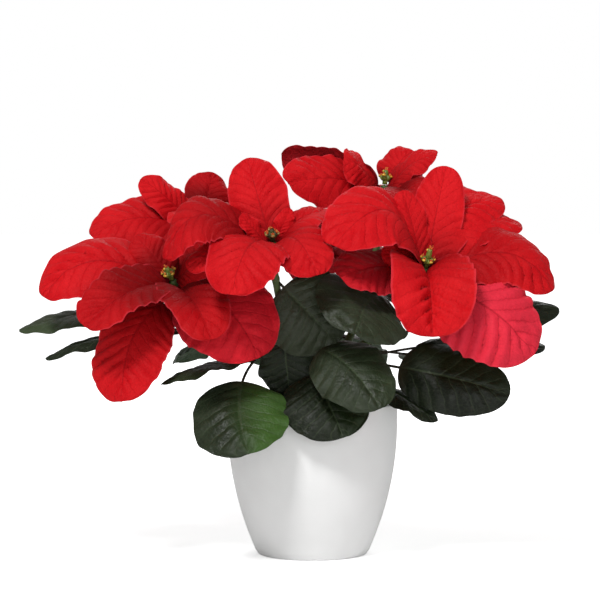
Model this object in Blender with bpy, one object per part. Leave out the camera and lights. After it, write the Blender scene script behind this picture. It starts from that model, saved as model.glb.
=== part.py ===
"""A poinsettia in a plain white pot.

One plant stands in potting soil. Its main stem was pinched when it was young, so six
leafy shoots leave the top of it. Each shoot ends in a head: a rosette of broad red
bracts round a small bunch of cyathia, the true flowers. Places in the tables are in
millimetres, with +X to the right, +Y to the back and +Z up from the pot's base.
"""

import math
from typing import NamedTuple

import bmesh
import bpy
import numpy as np
from mathutils import Matrix, Vector

MM = 0.001
GAP = 0.3

# Pot and soil
POT_HEIGHT = 140.0
POT_FOOT_RADIUS = 51.0
POT_BULGE = 27.2
POT_BULGE_HEIGHT = 120.0
POT_WALL = 4.0
POT_FLOOR = 6.0
POT_LIP = 0.8
POT_FOOT_ROUNDING = 2.0
POT_FLOOR_ROUNDING = 1.0
POT_SIDES = 40
POT_RINGS = (1.5, 14.0, 32.0, 56.0, 84.0, 116.0, POT_HEIGHT - 2.0)
SOIL_TOP = 125.0
SOIL_SLACK = 0.9
SOIL_LUMP = 1.1
SOIL_SIDES = 20
SOIL_RINGS = (POT_FLOOR + 1.0, 32.0, 56.0, 84.0, SOIL_TOP - 3.0)
SOIL_CIRCLES = (62.0, 46.0, 30.0, 16.0)
SOIL_FOOT_ROUNDING = 2.0
SOIL_FLAT_AT_STEM = 2.0

# Main stem and shoots
TRUNK_RADIUS = 7.0
TRUNK_TAPER = 0.8
TRUNK_ROUNDING = 2.0
TRUNK_FOOT = 60.0
TRUNK_TOP = 160.0
TRUNK_SIDES = 12
TUBE_TAPER = 0.4
COLLAR_RADIUS = 4.0
COLLAR_REACH = 15.0
COLLAR_DROP = 7.0
COLLAR_STEP = 8.0
SHOOT_RADIUS = (3.8, 3.1)
SHOOT_SIDES = 6
SHOOT_RINGS = 7

# Heads
HUB_RADIUS = 4.0
HUB_LENGTH = 15.0
LOWEST_SEAT = 12.5
HIGHEST_SEAT = 3.0
FLOWER_STALK = (2.4, 2.2)
FLOWER_STALK_LENGTH = 6.0
CUP_RADIUS = 2.6
CUP_LENGTH = 6.5
CUP_SHAPE = ((0.0, 0.46), (0.55, 1.0), (1.0, 0.7))
CUP_LEAN = 0.75
CUP_ROOT_DEPTH = 3.0
MIDDLE_CUP_RISE = 1.0
EVERY_OTHER_CUP_EXTRA = 1.2
CUP_SIDES = 5
GLAND_PLACE = (0.9, 0.8)
GLAND_RADIUS = (1.1, 1.3)
GLAND_LENGTH = 2.2
GLAND_SIDES = 4

# Blades: bracts and leaves
BLADE_THICKNESS = 0.7
STALK_HALF_WIDTH = 1.3
STALK_THICKNESS = 2.2
BLADE_COLUMNS = (-1.0, -0.55, 0.0, 0.55, 1.0)
WAVES = 2.4
UP = (0.0, 0.0, 1.0)


class Outline(NamedTuple):
    """A kind of blade: where it is widest, how full its ellipse is, and where its rows lie.

    Rows from -1 to 0 lie along the stalk and rows from 0 to 1 along the blade.
    """

    widest: float
    fullness: float
    rows: tuple


BRACT = Outline(widest=0.48, fullness=0.74, rows=(-1.0, 0.0, 0.25, 0.52, 0.76, 0.93, 1.0))
LEAF = Outline(widest=0.44, fullness=0.9, rows=(-1.0, -0.5, 0.0, 0.2, 0.5, 0.76, 0.93, 1.0))


class Blade(NamedTuple):
    """One bract or leaf.

    tip is where it ends, width its full width, face the way its upper side looks. The
    midrib bows out towards bow, or face where there is none: it leaves its seat by rise
    and comes down on the tip from hook. fold is the angle that each half is lifted at
    the midrib and droop the angle that it turns back by at its edge. wave is the height
    of the waves in the edge, stalk the share of the length before the blade, and seat
    the share of the shoot's length at which a leaf sits.
    """

    tip: tuple
    width: float
    face: tuple
    rise: float = 15.0
    hook: float = 15.0
    bow: tuple = ()
    fold: float = 12.0
    droop: float = 40.0
    wave: float = 2.0
    stalk: float = 0.05
    seat: float = 0.5


class Head(NamedTuple):
    """One head and its shoot.

    hub is the top of the hub and axis the way it looks. Neighbouring shoots leave the
    main stem at two heights in turn, low_collar at the lower one. cups counts the
    cyathia, and bud is how much longer the middle one is. Bracts are listed from the
    oldest, at the foot of the hub, to the youngest.
    """

    hub: tuple
    axis: tuple
    low_collar: bool
    cups: int
    bud: float
    bracts: tuple
    leaves: tuple


HEADS = {
    "left": Head(
        hub=(-126, -60, 255),
        axis=(-0.35, -0.45, 0.82),
        low_collar=False,
        cups=6,
        bud=3,
        bracts=(
            Blade((-168, -110, 150), 70, (-0.2, -0.85, 0.45), 24, 22, (-0.8, -0.4, 0.3), fold=10, stalk=0.14),
            Blade((-48, -108, 188), 94, (0.12, -0.85, 0.45), 28, 32, (0.45, -0.7, 0.5), fold=6),
            Blade((-215, 5, 250), 50, (-0.2, -0.3, 0.93), 25, 20),
            Blade((-241, -75, 241), 70, (-0.15, -0.75, 0.65), 30, 46, bow=UP),
            Blade((-88, -135, 206), 60, (0.1, -0.75, 0.65), 15, 25, fold=48, stalk=0.02),
            Blade((-199, -125, 217), 60, (0.1, -0.55, 0.83), 20, 25, fold=42),
            Blade((-84, 5, 290), 56, (0.0, -0.6, 0.8), 12, 12),
            Blade((-160, -45, 294), 40, (0.3, -0.95, 0.1), 8, 10),
            Blade((-76, -85, 280), 42, (0.0, -0.75, 0.65), 8, 12),
        ),
        leaves=(
            Blade((-268, -20, 208), 52, (0.0, -0.3, 0.95), 15, 20, stalk=0.3, seat=0.75),
            Blade((-240, -60, 184), 50, (-0.1, -0.1, 1.0), 15, 20, stalk=0.3, seat=0.6),
            Blade((-209, 10, 188), 50, (-0.2, 0.1, 0.95), 15, 20, stalk=0.3, seat=0.5),
            Blade((-56, -128, 106), 90, (-0.1, -0.8, 0.6), 26, 22, (-0.8, -0.2, 0.5), stalk=0.4, seat=0.3),
            Blade((-66, -22, 176), 50, (-0.1, -0.9, 0.4), 8, 10, stalk=0.3, seat=0.5),
        ),
    ),
    "centre": Head(
        hub=(-36, -85, 290),
        axis=(-0.05, -0.45, 0.89),
        low_collar=True,
        cups=7,
        bud=2,
        bracts=(
            Blade((-70, -160, 246), 74, (-0.15, -0.75, 0.65), 36, 38, (-0.1, -0.4, 0.9)),
            Blade((4, -134, 262), 58, (0.1, -0.8, 0.6), 36, 26, (0.1, -0.4, 0.9)),
            Blade((10, 0, 300), 50, (0.1, 0.4, 0.9), 15, 15),
            Blade((-85, 0, 300), 45, (-0.2, 0.3, 0.9), 15, 15),
            Blade((-132, -95, 275), 72, (-0.15, -0.6, 0.8), 30, 66, (-0.65, -0.2, 0.7)),
            Blade((28, -60, 312), 54, (0.0, -0.3, 0.95), 25, 22),
            Blade((-59, -50, 364), 54, (-0.15, -0.85, 0.5), 5, 12),
            Blade((-112, -98, 268), 34, (-0.1, -0.8, 0.6), 14, 14),
            Blade((-64, -93, 313), 22, (0.2, -0.7, 0.6), -4, 4),
            Blade((-20, -79, 319), 18, (0.1, -0.9, 0.2), -2, 3),
        ),
        leaves=(
            Blade((27, -98, 117), 86, (0.15, -0.9, 0.4), 20, 22, stalk=0.3, seat=0.2),
            Blade((59, -120, 145), 72, (0.15, -0.85, 0.5), 22, 25, (0.4, -0.6, 0.7), stalk=0.3, seat=0.35),
            Blade((22, -64, 197), 84, (-0.18, -0.9, 0.4), 8, 12, stalk=0.12, seat=0.84),
            Blade((-20, -45, 147), 54, (-0.2, -0.9, 0.4), 10, 10, stalk=0.3, seat=0.55),
            Blade((-135, -80, 163), 46, (0.0, 0.0, 1.0), 3, 12, stalk=0.35, seat=0.3),
            Blade((-30, 30, 210), 60, (0.0, -0.3, 0.95), 10, 12, stalk=0.3, seat=0.6),
        ),
    ),
    "right": Head(
        hub=(101, -60, 266),
        axis=(0.2, -0.4, 0.89),
        low_collar=False,
        cups=6,
        bud=8,
        bracts=(
            Blade((195, -95, 190), 92, (0.1, -0.85, 0.5), 22, 37, fold=6),
            Blade((24, -105, 259), 58, (-0.15, -0.8, 0.6), 12, 15, bow=UP),
            Blade((110, 40, 280), 48, (0.1, 0.4, 0.9), 15, 12),
            Blade((104, -130, 208), 86, (0.12, -0.65, 0.72), 34, 26, (0.0, -0.4, 0.9), fold=60, stalk=0.02),
            Blade((215, -60, 245), 70, (0.1, -0.75, 0.65), 28, 50, bow=UP),
            Blade((191, -10, 304), 54, (-0.1, -0.7, 0.7), 30, 32, bow=UP),
            Blade((18, -124, 287), 74, (-0.1, -0.75, 0.65), 61, 60, bow=UP),
            Blade((174, 0, 327), 58, (-0.1, -0.85, 0.5), 36, 27, bow=UP),
            Blade((121, -30, 357), 50, (-0.1, -0.95, 0.3), 0, 8),
            Blade((62, -76, 284), 30, (0.0, -1.0, 0.3), 4, 6),
            Blade((80, -58, 335), 34, (0.3, -0.9, 0.3), 0, 6),
        ),
        leaves=(
            Blade((177, -60, 152), 66, (0.05, -0.9, 0.35), 12, 18, stalk=0.35, seat=0.2),
            Blade((112, -60, 128), 36, (0.0, -0.2, 0.95), 4, 10, stalk=0.35, seat=0.1),
            Blade((225, -20, 227), 50, (0.1, -0.6, 0.8), 15, 15, stalk=0.38, seat=0.35),
            Blade((214, -5, 192), 60, (0.1, -0.25, 0.95), 12, 15, stalk=0.38, seat=0.15),
            Blade((36, -122, 210), 92, (0.0, -0.9, 0.45), 46, 16, (-0.45, -0.1, 0.85), stalk=0.3, seat=0.75),
        ),
    ),
    "back_right": Head(
        hub=(68, 50, 340),
        axis=(0.1, 0.05, 0.99),
        low_collar=True,
        cups=5,
        bud=3,
        bracts=(
            Blade((-22, -15, 341), 62, (-0.1, -0.85, 0.5), 15, 15, bow=UP),
            Blade((65, -15, 326), 44, (0.0, -0.2, 1.0), 12, 15),
            Blade((155, 100, 330), 46, (0.2, 0.3, 0.9), 15, 20),
            Blade((75, 152, 325), 46, (0.0, 0.4, 0.9), 12, 20),
            Blade((-8, 118, 335), 42, (-0.2, 0.3, 0.9), 10, 15),
            Blade((116, 30, 368), 36, (0.0, -0.6, 0.8), 8, 12, bow=UP),
            Blade((-29, 60, 365), 54, (0.0, 0.8, 0.6), 5, 10, bow=UP),
            Blade((97, 66, 371), 50, (-0.2, -0.8, 0.5), -4, 14, (-0.7, 0.0, 0.7), fold=0, stalk=0.2),
            Blade((29, 10, 366), 46, (0.2, -0.8, 0.6), 0, 8, fold=0, stalk=0.15),
            Blade((100, -2, 334), 44, (0.1, -0.95, 0.3), -4, 6, fold=0, stalk=0.15),
        ),
        leaves=(
            Blade((150, 50, 215), 60, (0.4, -0.1, 0.9), 18, 20, stalk=0.3, seat=0.45),
            Blade((110, 130, 235), 60, (0.3, 0.4, 0.85), 18, 20, stalk=0.3, seat=0.6),
            Blade((165, 90, 145), 56, (0.3, 0.2, 0.9), 18, 20, stalk=0.4, seat=0.2),
            Blade((118, -10, 232), 56, (0.2, -0.2, 0.95), 10, 14, stalk=0.3, seat=0.5),
        ),
    ),
    "back_left": Head(
        hub=(-105, 50, 310),
        axis=(-0.15, 0.0, 0.98),
        low_collar=True,
        cups=5,
        bud=3,
        bracts=(
            Blade((-204, 20, 291), 58, (0.0, -0.75, 0.65), 18, 25, bow=UP),
            Blade((-195, 105, 300), 44, (-0.2, 0.3, 0.9), 15, 20),
            Blade((-110, 160, 295), 48, (0.0, 0.4, 0.9), 12, 20),
            Blade((-30, 100, 320), 44, (0.2, 0.2, 0.95), 12, 15),
            Blade((-122, -25, 305), 38, (0.0, -0.4, 0.9), 12, 15),
            Blade((-46, 14, 318), 36, (0.2, -0.3, 0.9), 10, 12),
            Blade((-161, 40, 345), 38, (0.1, -0.8, 0.6), -7, 8),
            Blade((-95, 84, 352), 46, (0.1, -0.95, -0.1), -6, 3),
        ),
        leaves=(
            Blade((-170, 90, 200), 60, (-0.4, 0.2, 0.9), 18, 20, stalk=0.3, seat=0.5),
            Blade((-90, 140, 215), 60, (-0.1, 0.5, 0.85), 18, 20, stalk=0.3, seat=0.6),
            Blade((-130, 85, 170), 60, (-0.4, 0.3, 0.85), 18, 20, stalk=0.35, seat=0.3),
            Blade((-92, -12, 232), 54, (-0.1, -0.2, 0.95), 10, 14, stalk=0.3, seat=0.55),
        ),
    ),
    "back": Head(
        hub=(0, 105, 285),
        axis=(0.0, 0.45, 0.89),
        low_collar=False,
        cups=5,
        bud=3,
        bracts=(
            Blade((0, 210, 240), 60, (0.0, 0.7, 0.7), 16, 28),
            Blade((-98, 150, 245), 52, (-0.3, 0.5, 0.8), 20, 25),
            Blade((98, 155, 245), 52, (0.3, 0.5, 0.8), 20, 25),
            Blade((-60, 190, 265), 50, (-0.1, 0.5, 0.85), 18, 20, fold=25),
            Blade((55, 195, 268), 50, (0.1, 0.5, 0.85), 18, 20, fold=25),
            Blade((60, 90, 290), 44, (0.2, 0.2, 0.95), 12, 12),
            Blade((-60, 90, 285), 44, (-0.2, 0.2, 0.95), 12, 12),
            Blade((0, 165, 310), 40, (0.0, 0.4, 0.9), 4, 10),
            Blade((5, 70, 315), 36, (0.0, -0.3, 0.9), 4, 8),
        ),
        leaves=(
            Blade((-60, 150, 165), 70, (-0.2, 0.7, 0.65), 18, 22, stalk=0.3, seat=0.35),
            Blade((60, 150, 160), 70, (0.2, 0.7, 0.65), 18, 22, stalk=0.3, seat=0.3),
            Blade((0, 170, 190), 74, (0.0, 0.8, 0.6), 18, 22, stalk=0.3, seat=0.55),
            Blade((8, 12, 238), 54, (0.0, -0.2, 0.95), 10, 14, stalk=0.35, seat=0.6),
        ),
    ),
}

RED = ("bract red", (0.62, 0.012, 0.018), 0.5)
GREEN = ("leaf green", (0.03, 0.075, 0.03), 0.5)
CUP_GREEN = ("cyathium green", (0.35, 0.42, 0.05), 0.5)
BARK = ("stem bark", (0.16, 0.14, 0.06), 0.8)
WHITE = ("pot white", (0.82, 0.82, 0.82), 0.35)
SOIL = ("potting soil", (0.035, 0.022, 0.014), 0.95)


def clear_scene():
    for obj in list(bpy.data.objects):
        bpy.data.objects.remove(obj, do_unlink=True)


def material_of(finish):
    name, colour, roughness = finish
    material = bpy.data.materials.get(name)
    if material is None:
        material = bpy.data.materials.new(name)
        material.use_nodes = True
        shader = material.node_tree.nodes["Principled BSDF"]
        shader.inputs["Base Color"].default_value = (*colour, 1.0)
        shader.inputs["Roughness"].default_value = roughness
        shader.inputs["Metallic"].default_value = 0.0
    return material


def object_from(bm, name, finish, smooth=True):
    """The bmesh as an object of this name, scaled from millimetres to metres."""
    bmesh.ops.scale(bm, vec=(MM, MM, MM), verts=bm.verts)
    mesh = bpy.data.meshes.new(name)
    bm.to_mesh(mesh)
    bm.free()
    if smooth:
        mesh.shade_smooth()
    mesh.materials.append(material_of(finish))
    obj = bpy.data.objects.new(name, mesh)
    bpy.context.scene.collection.objects.link(obj)
    return obj


def turned(profile, sides):
    """A bmesh of the closed profile of (radius, height) points, turned about Z."""
    bm = bmesh.new()
    verts = [bm.verts.new((radius, 0.0, height)) for radius, height in profile]
    edges = [bm.edges.new(pair) for pair in zip(verts, verts[1:])]
    bmesh.ops.spin(
        bm,
        geom=verts + edges,
        axis=(0, 0, 1),
        cent=(0, 0, 0),
        angle=2 * math.pi,
        steps=sides,
        use_merge=True,
    )
    bmesh.ops.remove_doubles(bm, verts=bm.verts, dist=0.01)
    bmesh.ops.recalc_face_normals(bm, faces=bm.faces)
    return bm


def unit(vector):
    vector = np.asarray(vector, float)
    return vector / np.linalg.norm(vector)


def bezier(handles, t):
    """Points and directions of a cubic curve at the shares t."""
    a, b, c, d = (np.asarray(handle, float) for handle in handles)
    t = np.asarray(t, float)[:, None]
    points = (1 - t) ** 3 * a + 3 * (1 - t) ** 2 * t * b + 3 * (1 - t) * t**2 * c + t**3 * d
    slopes = 3 * (1 - t) ** 2 * (b - a) + 6 * (1 - t) * t * (c - b) + 3 * t**2 * (d - c)
    return points, slopes / np.linalg.norm(slopes, axis=1, keepdims=True)


def even_steps(handles, shares):
    """The curve's own t at these shares of its length."""
    t = np.linspace(0.0, 1.0, 65)
    points, _ = bezier(handles, t)
    steps = np.linalg.norm(np.diff(points, axis=0), axis=1)
    length = np.concatenate([[0.0], np.cumsum(steps)])
    return np.interp(np.asarray(shares) * length[-1], length, t)


def square_to(vector, line):
    """The part of the vector that is square to the line, at length 1."""
    vector = np.asarray(vector, float)
    return unit(vector - vector.dot(unit(line)) * unit(line))


def rib_handles(blade, seat):
    """The midrib as a cubic curve from the seat to the tip."""
    tip = np.asarray(blade.tip, float)
    chord = tip - seat
    bow = square_to(blade.bow or blade.face, chord)
    return (
        seat,
        seat + chord / 3 + bow * blade.rise,
        tip - chord / 3 + bow * blade.hook,
        tip,
    )


def blade_points(blade, seat, kind, rows, columns, phase):
    """The upper side: an array of rows from seat to tip by columns from edge to edge."""
    handles = rib_handles(blade, seat)
    points, along = bezier(handles, even_steps(handles, rows))
    side = np.cross(unit(handles[3] - seat), square_to(blade.face, handles[3] - seat))
    share = np.clip((np.asarray(rows) - blade.stalk) / (1 - blade.stalk), 0.0, 1.0)
    even = share ** (math.log(0.5) / math.log(kind.widest))
    half = blade.width / 2 * (2 * np.sqrt(even * (1 - even))) ** kind.fullness
    half = np.maximum(half, np.where(share < 0.5, STALK_HALF_WIDTH, 0.0))
    side = side - (along @ side)[:, None] * along
    side = side / np.linalg.norm(side, axis=1, keepdims=True)
    normal = np.cross(side, along)
    v = np.asarray(columns)[None, :]
    lift = math.radians(blade.fold) * (1 - 0.5 * share)[:, None]
    back = math.radians(max(blade.droop, 1.0))
    across = (np.sin(lift) - np.sin(lift - back * abs(v))) / back * np.sign(v)
    height = (np.cos(lift - back * abs(v)) - np.cos(lift)) / back
    ripple = np.sin(2 * math.pi * WAVES * share[:, None] + phase + 1.9 * (v > 0))
    height = height * half[:, None] + blade.wave * v**2 * ripple * (half / half.max())[:, None]
    across = across * half[:, None]
    return (
        points[:, None, :]
        + across[:, :, None] * side[:, None, :]
        + height[:, :, None] * normal[:, None, :]
    )


def rows_of(blade, kind):
    """The rows as shares of the whole length, stalk and blade together."""
    ends = (-1.0, 0.0, 1.0)
    return [float(np.interp(row, ends, (0.0, blade.stalk, 1.0))) for row in kind.rows]


def blade_bmesh(blade, seat, kind, phase):
    """The blade as a thin closed solid, with like triangles above and below."""
    rows = rows_of(blade, kind)
    grid = blade_points(blade, seat, kind, rows, BLADE_COLUMNS, phase)
    for row, share in enumerate(kind.rows):
        if share <= 0.0:
            grid[row, 1] = grid[row, 0]
            grid[row, -2] = grid[row, -1]
    bm = bmesh.new()
    bmesh.ops.create_grid(
        bm, x_segments=len(BLADE_COLUMNS) - 1, y_segments=len(rows) - 1, size=1.0
    )
    verts = sorted(bm.verts, key=lambda vert: (round(vert.co.y, 4), vert.co.x))
    for vert, point in zip(verts, grid.reshape(-1, 3)):
        vert.co = point
    thickness = {}
    for index, vert in enumerate(verts):
        share = (rows[index // len(BLADE_COLUMNS)] - blade.stalk) / (1 - blade.stalk)
        stalky = min(max(1.0 - share / 0.12, 0.0), 1.0)
        thickness[vert] = BLADE_THICKNESS + (STALK_THICKNESS - BLADE_THICKNESS) * stalky
    bmesh.ops.remove_doubles(bm, verts=bm.verts, dist=0.001)
    bmesh.ops.triangulate(bm, faces=bm.faces, quad_method="FIXED")
    bm.normal_update()
    upper = [vert for vert in bm.verts]
    depth = [thickness[vert] for vert in upper]
    normals = [vert.normal.copy() for vert in upper]
    places = {tuple(vert.co): i for i, vert in enumerate(upper)}
    grown = bmesh.ops.extrude_face_region(bm, geom=bm.faces[:])
    for item in grown["geom"]:
        if isinstance(item, bmesh.types.BMVert):
            i = places[tuple(item.co)]
            item.co -= normals[i] * depth[i]
    bmesh.ops.recalc_face_normals(bm, faces=bm.faces)
    return bm


def tube(points, along, radii, sides):
    """A closed tube through the points, square to the directions at each."""
    bm = bmesh.new()
    rings = []
    for point, direction, radius in zip(points, along, radii):
        turn = Vector(direction).to_track_quat("Z", "Y").to_matrix().to_4x4()
        made = bmesh.ops.create_circle(
            bm, cap_ends=False, segments=sides, radius=radius, matrix=Matrix.Translation(point) @ turn
        )
        rings.append(made["verts"])
    for ring, following in zip(rings, rings[1:]):
        edges = ring_edges(ring) + ring_edges(following)
        bmesh.ops.bridge_loops(bm, edges=edges)
    for ring in (rings[0], rings[-1]):
        bmesh.ops.contextual_create(bm, geom=ring_edges(ring))
    bmesh.ops.recalc_face_normals(bm, faces=bm.faces)
    return bm


def ring_edges(ring):
    members = set(ring)
    return list({edge for vert in ring for edge in vert.link_edges if edge.other_vert(vert) in members})


def joined(name, finish, base, pieces):
    """One closed solid of the base and the pieces, by one Boolean union."""
    group = bpy.data.collections.new(name + "_pieces")
    bpy.context.scene.collection.children.link(group)
    body = object_from(base, name, finish)
    for index, bm in enumerate(pieces):
        piece = object_from(bm, f"{name}_piece_{index}", finish)
        bpy.context.scene.collection.objects.unlink(piece)
        group.objects.link(piece)
    union = body.modifiers.new("union", "BOOLEAN")
    union.operation = "UNION"
    union.operand_type = "COLLECTION"
    union.collection = group
    union.solver = "MANIFOLD"
    graph = bpy.context.evaluated_depsgraph_get()
    mesh = bpy.data.meshes.new_from_object(body.evaluated_get(graph))
    body.modifiers.clear()
    body.data = mesh
    for piece in list(group.objects):
        bpy.data.objects.remove(piece, do_unlink=True)
    bpy.data.collections.remove(group)
    keep_largest_body(mesh)
    mesh.shade_smooth()
    return body


def keep_largest_body(mesh):
    """Drops any loose scrap that the union left."""
    bm = bmesh.new()
    bm.from_mesh(mesh)
    unseen = set(bm.faces)
    bodies = []
    while unseen:
        body = set()
        front = [unseen.pop()]
        while front:
            face = front.pop()
            body.add(face)
            for edge in face.edges:
                if len(edge.link_faces) != 2:
                    continue
                for other in edge.link_faces:
                    if other in unseen:
                        unseen.remove(other)
                        front.append(other)
        bodies.append(body)
    bodies.sort(key=len, reverse=True)
    scraps = [face for body in bodies[1:] for face in body]
    bmesh.ops.delete(bm, geom=scraps, context="FACES")
    bm.to_mesh(mesh)
    bm.free()


def pot_radius(height):
    """The pot's outer radius: a bellied side, then straight up to the rim."""
    left = max(1.0 - height / POT_BULGE_HEIGHT, 0.0)
    return POT_FOOT_RADIUS + POT_BULGE * (1.0 - left**2)


def make_pot():
    """The pot: flat foot, bellied side, rounded lip, and a wall of even thickness."""
    outer = [(POT_FOOT_RADIUS - POT_FOOT_ROUNDING, 0.0)]
    outer += [(pot_radius(height), height) for height in POT_RINGS]
    rim = pot_radius(POT_HEIGHT)
    lip = [(rim - POT_LIP, POT_HEIGHT), (rim - POT_WALL + POT_LIP, POT_HEIGHT)]
    inner = [(pot_radius(height) - POT_WALL, height) for height in reversed(POT_RINGS[1:])]
    floor_radius = pot_radius(POT_FLOOR) - POT_WALL - POT_FLOOR_ROUNDING
    floor = [(floor_radius, POT_FLOOR), (0.0, POT_FLOOR)]
    bm = turned(outer + lip + inner + floor, POT_SIDES)
    bmesh.ops.holes_fill(bm, edges=[edge for edge in bm.edges if edge.is_boundary])
    bmesh.ops.recalc_face_normals(bm, faces=bm.faces)
    return object_from(bm, "pot", WHITE)


def make_soil():
    """Soil that fills the pot to below its rim, with a plain blind hole for the stem."""
    clear = POT_WALL + SOIL_SLACK
    bottom = POT_FLOOR + GAP
    foot_radius = pot_radius(SOIL_RINGS[0]) - clear - SOIL_FOOT_ROUNDING
    profile = [(0.0, bottom), (foot_radius, bottom)]
    profile += [(pot_radius(height) - clear, height) for height in SOIL_RINGS]
    profile += [(radius, SOIL_TOP) for radius in SOIL_CIRCLES]
    hole = TRUNK_RADIUS + GAP
    profile += [(hole, SOIL_TOP), (hole, TRUNK_FOOT - GAP), (0.0, TRUNK_FOOT - GAP)]
    bm = turned(profile, SOIL_SIDES)
    for vert in bm.verts:
        radius = math.hypot(vert.co.x, vert.co.y)
        if vert.co.z > SOIL_TOP - GAP and radius > hole + SOIL_FLAT_AT_STEM:
            angle = math.atan2(vert.co.y, vert.co.x)
            lump = math.sin(5 * angle + radius / 9) + math.sin(3 * angle - radius / 13)
            vert.co.z += SOIL_LUMP * lump
    bmesh.ops.triangulate(bm, faces=bm.faces)
    return object_from(bm, "soil", SOIL)


def shoot_start(head):
    """The end of the collar on the main stem, and the way the shoot leaves it."""
    out = unit((head.hub[0], head.hub[1], 0.0))
    height = TRUNK_TOP - COLLAR_DROP - COLLAR_STEP * head.low_collar
    direction = unit(out + (0.0, 0.0, 1.0))
    return np.array((0.0, 0.0, height)) + direction * COLLAR_REACH, direction


def make_trunk():
    """The main stem, thick and woody, with a short collar where each shoot leaves it."""
    neck = TRUNK_RADIUS - TRUNK_TAPER
    profile = [
        (0.0, TRUNK_FOOT),
        (TRUNK_RADIUS, TRUNK_FOOT),
        (TRUNK_RADIUS, SOIL_TOP),
        (neck, TRUNK_TOP - TRUNK_ROUNDING),
        (neck - TRUNK_ROUNDING, TRUNK_TOP),
        (0.0, TRUNK_TOP),
    ]
    collars = []
    for head in HEADS.values():
        end, direction = shoot_start(head)
        root = end - direction * COLLAR_REACH
        collars.append(
            tube([root, end], [direction] * 2, [COLLAR_RADIUS + TUBE_TAPER, COLLAR_RADIUS], SHOOT_SIDES)
        )
    return joined("trunk", BARK, turned(profile, TRUNK_SIDES), collars)


def shoot_handles(head):
    start, direction = shoot_start(head)
    start = start + direction * GAP
    axis = unit(head.axis)
    end = np.asarray(head.hub, float) - axis * (HUB_LENGTH + GAP)
    reach = np.linalg.norm(end - start) * 0.35
    return (start, start + direction * reach, end - axis * reach, end)


def make_shoot(name, head):
    """A leafy shoot: its stem with the leaf stalks sunk to its middle."""
    handles = shoot_handles(head)
    points, along = bezier(handles, even_steps(handles, np.linspace(0, 1, SHOOT_RINGS)))
    stem = tube(points, along, np.linspace(*SHOOT_RADIUS, SHOOT_RINGS), SHOOT_SIDES)
    leaves = []
    for index, leaf in enumerate(head.leaves):
        seat, _ = bezier(handles, even_steps(handles, [leaf.seat]))
        leaves.append(blade_bmesh(leaf, seat[0], LEAF, phase=1.7 * index))
    return joined("shoot_" + name, GREEN, stem, leaves)


def hub_seat(head, index):
    """Bract seats climb the hub from its foot, oldest bract first, each on its own side."""
    axis = unit(head.axis)
    share = index / (len(head.bracts) - 1)
    depth = LOWEST_SEAT + (HIGHEST_SEAT - LOWEST_SEAT) * share
    middle = np.asarray(head.hub, float) - axis * depth
    out = np.asarray(head.bracts[index].tip, float) - middle
    return middle + unit(out - out.dot(axis) * axis) * HUB_RADIUS * 0.5


def make_bracts(name, head):
    """The red rosette: every bract's stalk is sunk to the middle of a short hub."""
    axis = unit(head.axis)
    top = np.asarray(head.hub, float)
    ends = [top - axis * HUB_LENGTH, top]
    hub = tube(ends, [axis] * 2, [HUB_RADIUS - TUBE_TAPER, HUB_RADIUS], SHOOT_SIDES)
    blades = []
    for index, bract in enumerate(head.bracts):
        blades.append(blade_bmesh(bract, hub_seat(head, index), BRACT, phase=2.1 * index))
    return joined("bracts_" + name, RED, hub, blades)


def make_cyathia(name, head):
    """The true flowers: small cups with a gland at the lip, on a short common stalk."""
    axis = unit(head.axis)
    foot = np.asarray(head.hub, float) + axis * GAP
    across = unit(np.cross(axis, (0.3, 0.9, 0.1)))
    other = np.cross(axis, across)
    stalk = tube([foot, foot + axis * FLOWER_STALK_LENGTH], [axis] * 2, FLOWER_STALK, SHOOT_SIDES)
    pieces = []
    for index in range(head.cups):
        middle = index == 0
        angle = 2 * math.pi * index / (head.cups - 1)
        out = across * math.cos(angle) + other * math.sin(angle)
        direction = axis if middle else unit(axis + out * CUP_LEAN)
        root = foot + axis * (FLOWER_STALK_LENGTH - CUP_ROOT_DEPTH + MIDDLE_CUP_RISE * middle)
        reach = CUP_LENGTH + (head.bud if middle else EVERY_OTHER_CUP_EXTRA * (index % 2))
        steps = [root + direction * reach * share for share, _ in CUP_SHAPE]
        radii = [CUP_RADIUS * size for _, size in CUP_SHAPE]
        pieces.append(tube(steps, [direction] * len(steps), radii, CUP_SIDES))
        up, aside = GLAND_PLACE
        lip = root + direction * reach * up + out * CUP_RADIUS * aside
        ends = [lip, lip + direction * GLAND_LENGTH]
        pieces.append(tube(ends, [direction] * 2, GLAND_RADIUS, GLAND_SIDES))
    return joined("cyathia_" + name, CUP_GREEN, stalk, pieces)


def main():
    clear_scene()
    make_pot()
    make_soil()
    make_trunk()
    for name, head in HEADS.items():
        make_shoot(name, head)
        make_bracts(name, head)
        make_cyathia(name, head)


if __name__ == "__main__":
    main()
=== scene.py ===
# %% [markdown]
# # A poinsettia in a white pot
#
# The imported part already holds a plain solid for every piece: the pot, the soil, the main
# stem, and for each of six shoots its leaves, its red bracts and its small true flowers.
# This file dresses those solids. Each one is replaced by a finer piece of the same form,
# grown from the same plan, with veins, quilting, colour and gloss. Lengths in the plan are
# in millimetres, with +X to the right, +Y to the back and +Z up from the pot's base.

import math
import random
from typing import NamedTuple

import bmesh
import bpy
import numpy as np
from mathutils import Matrix, Vector, noise


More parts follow.
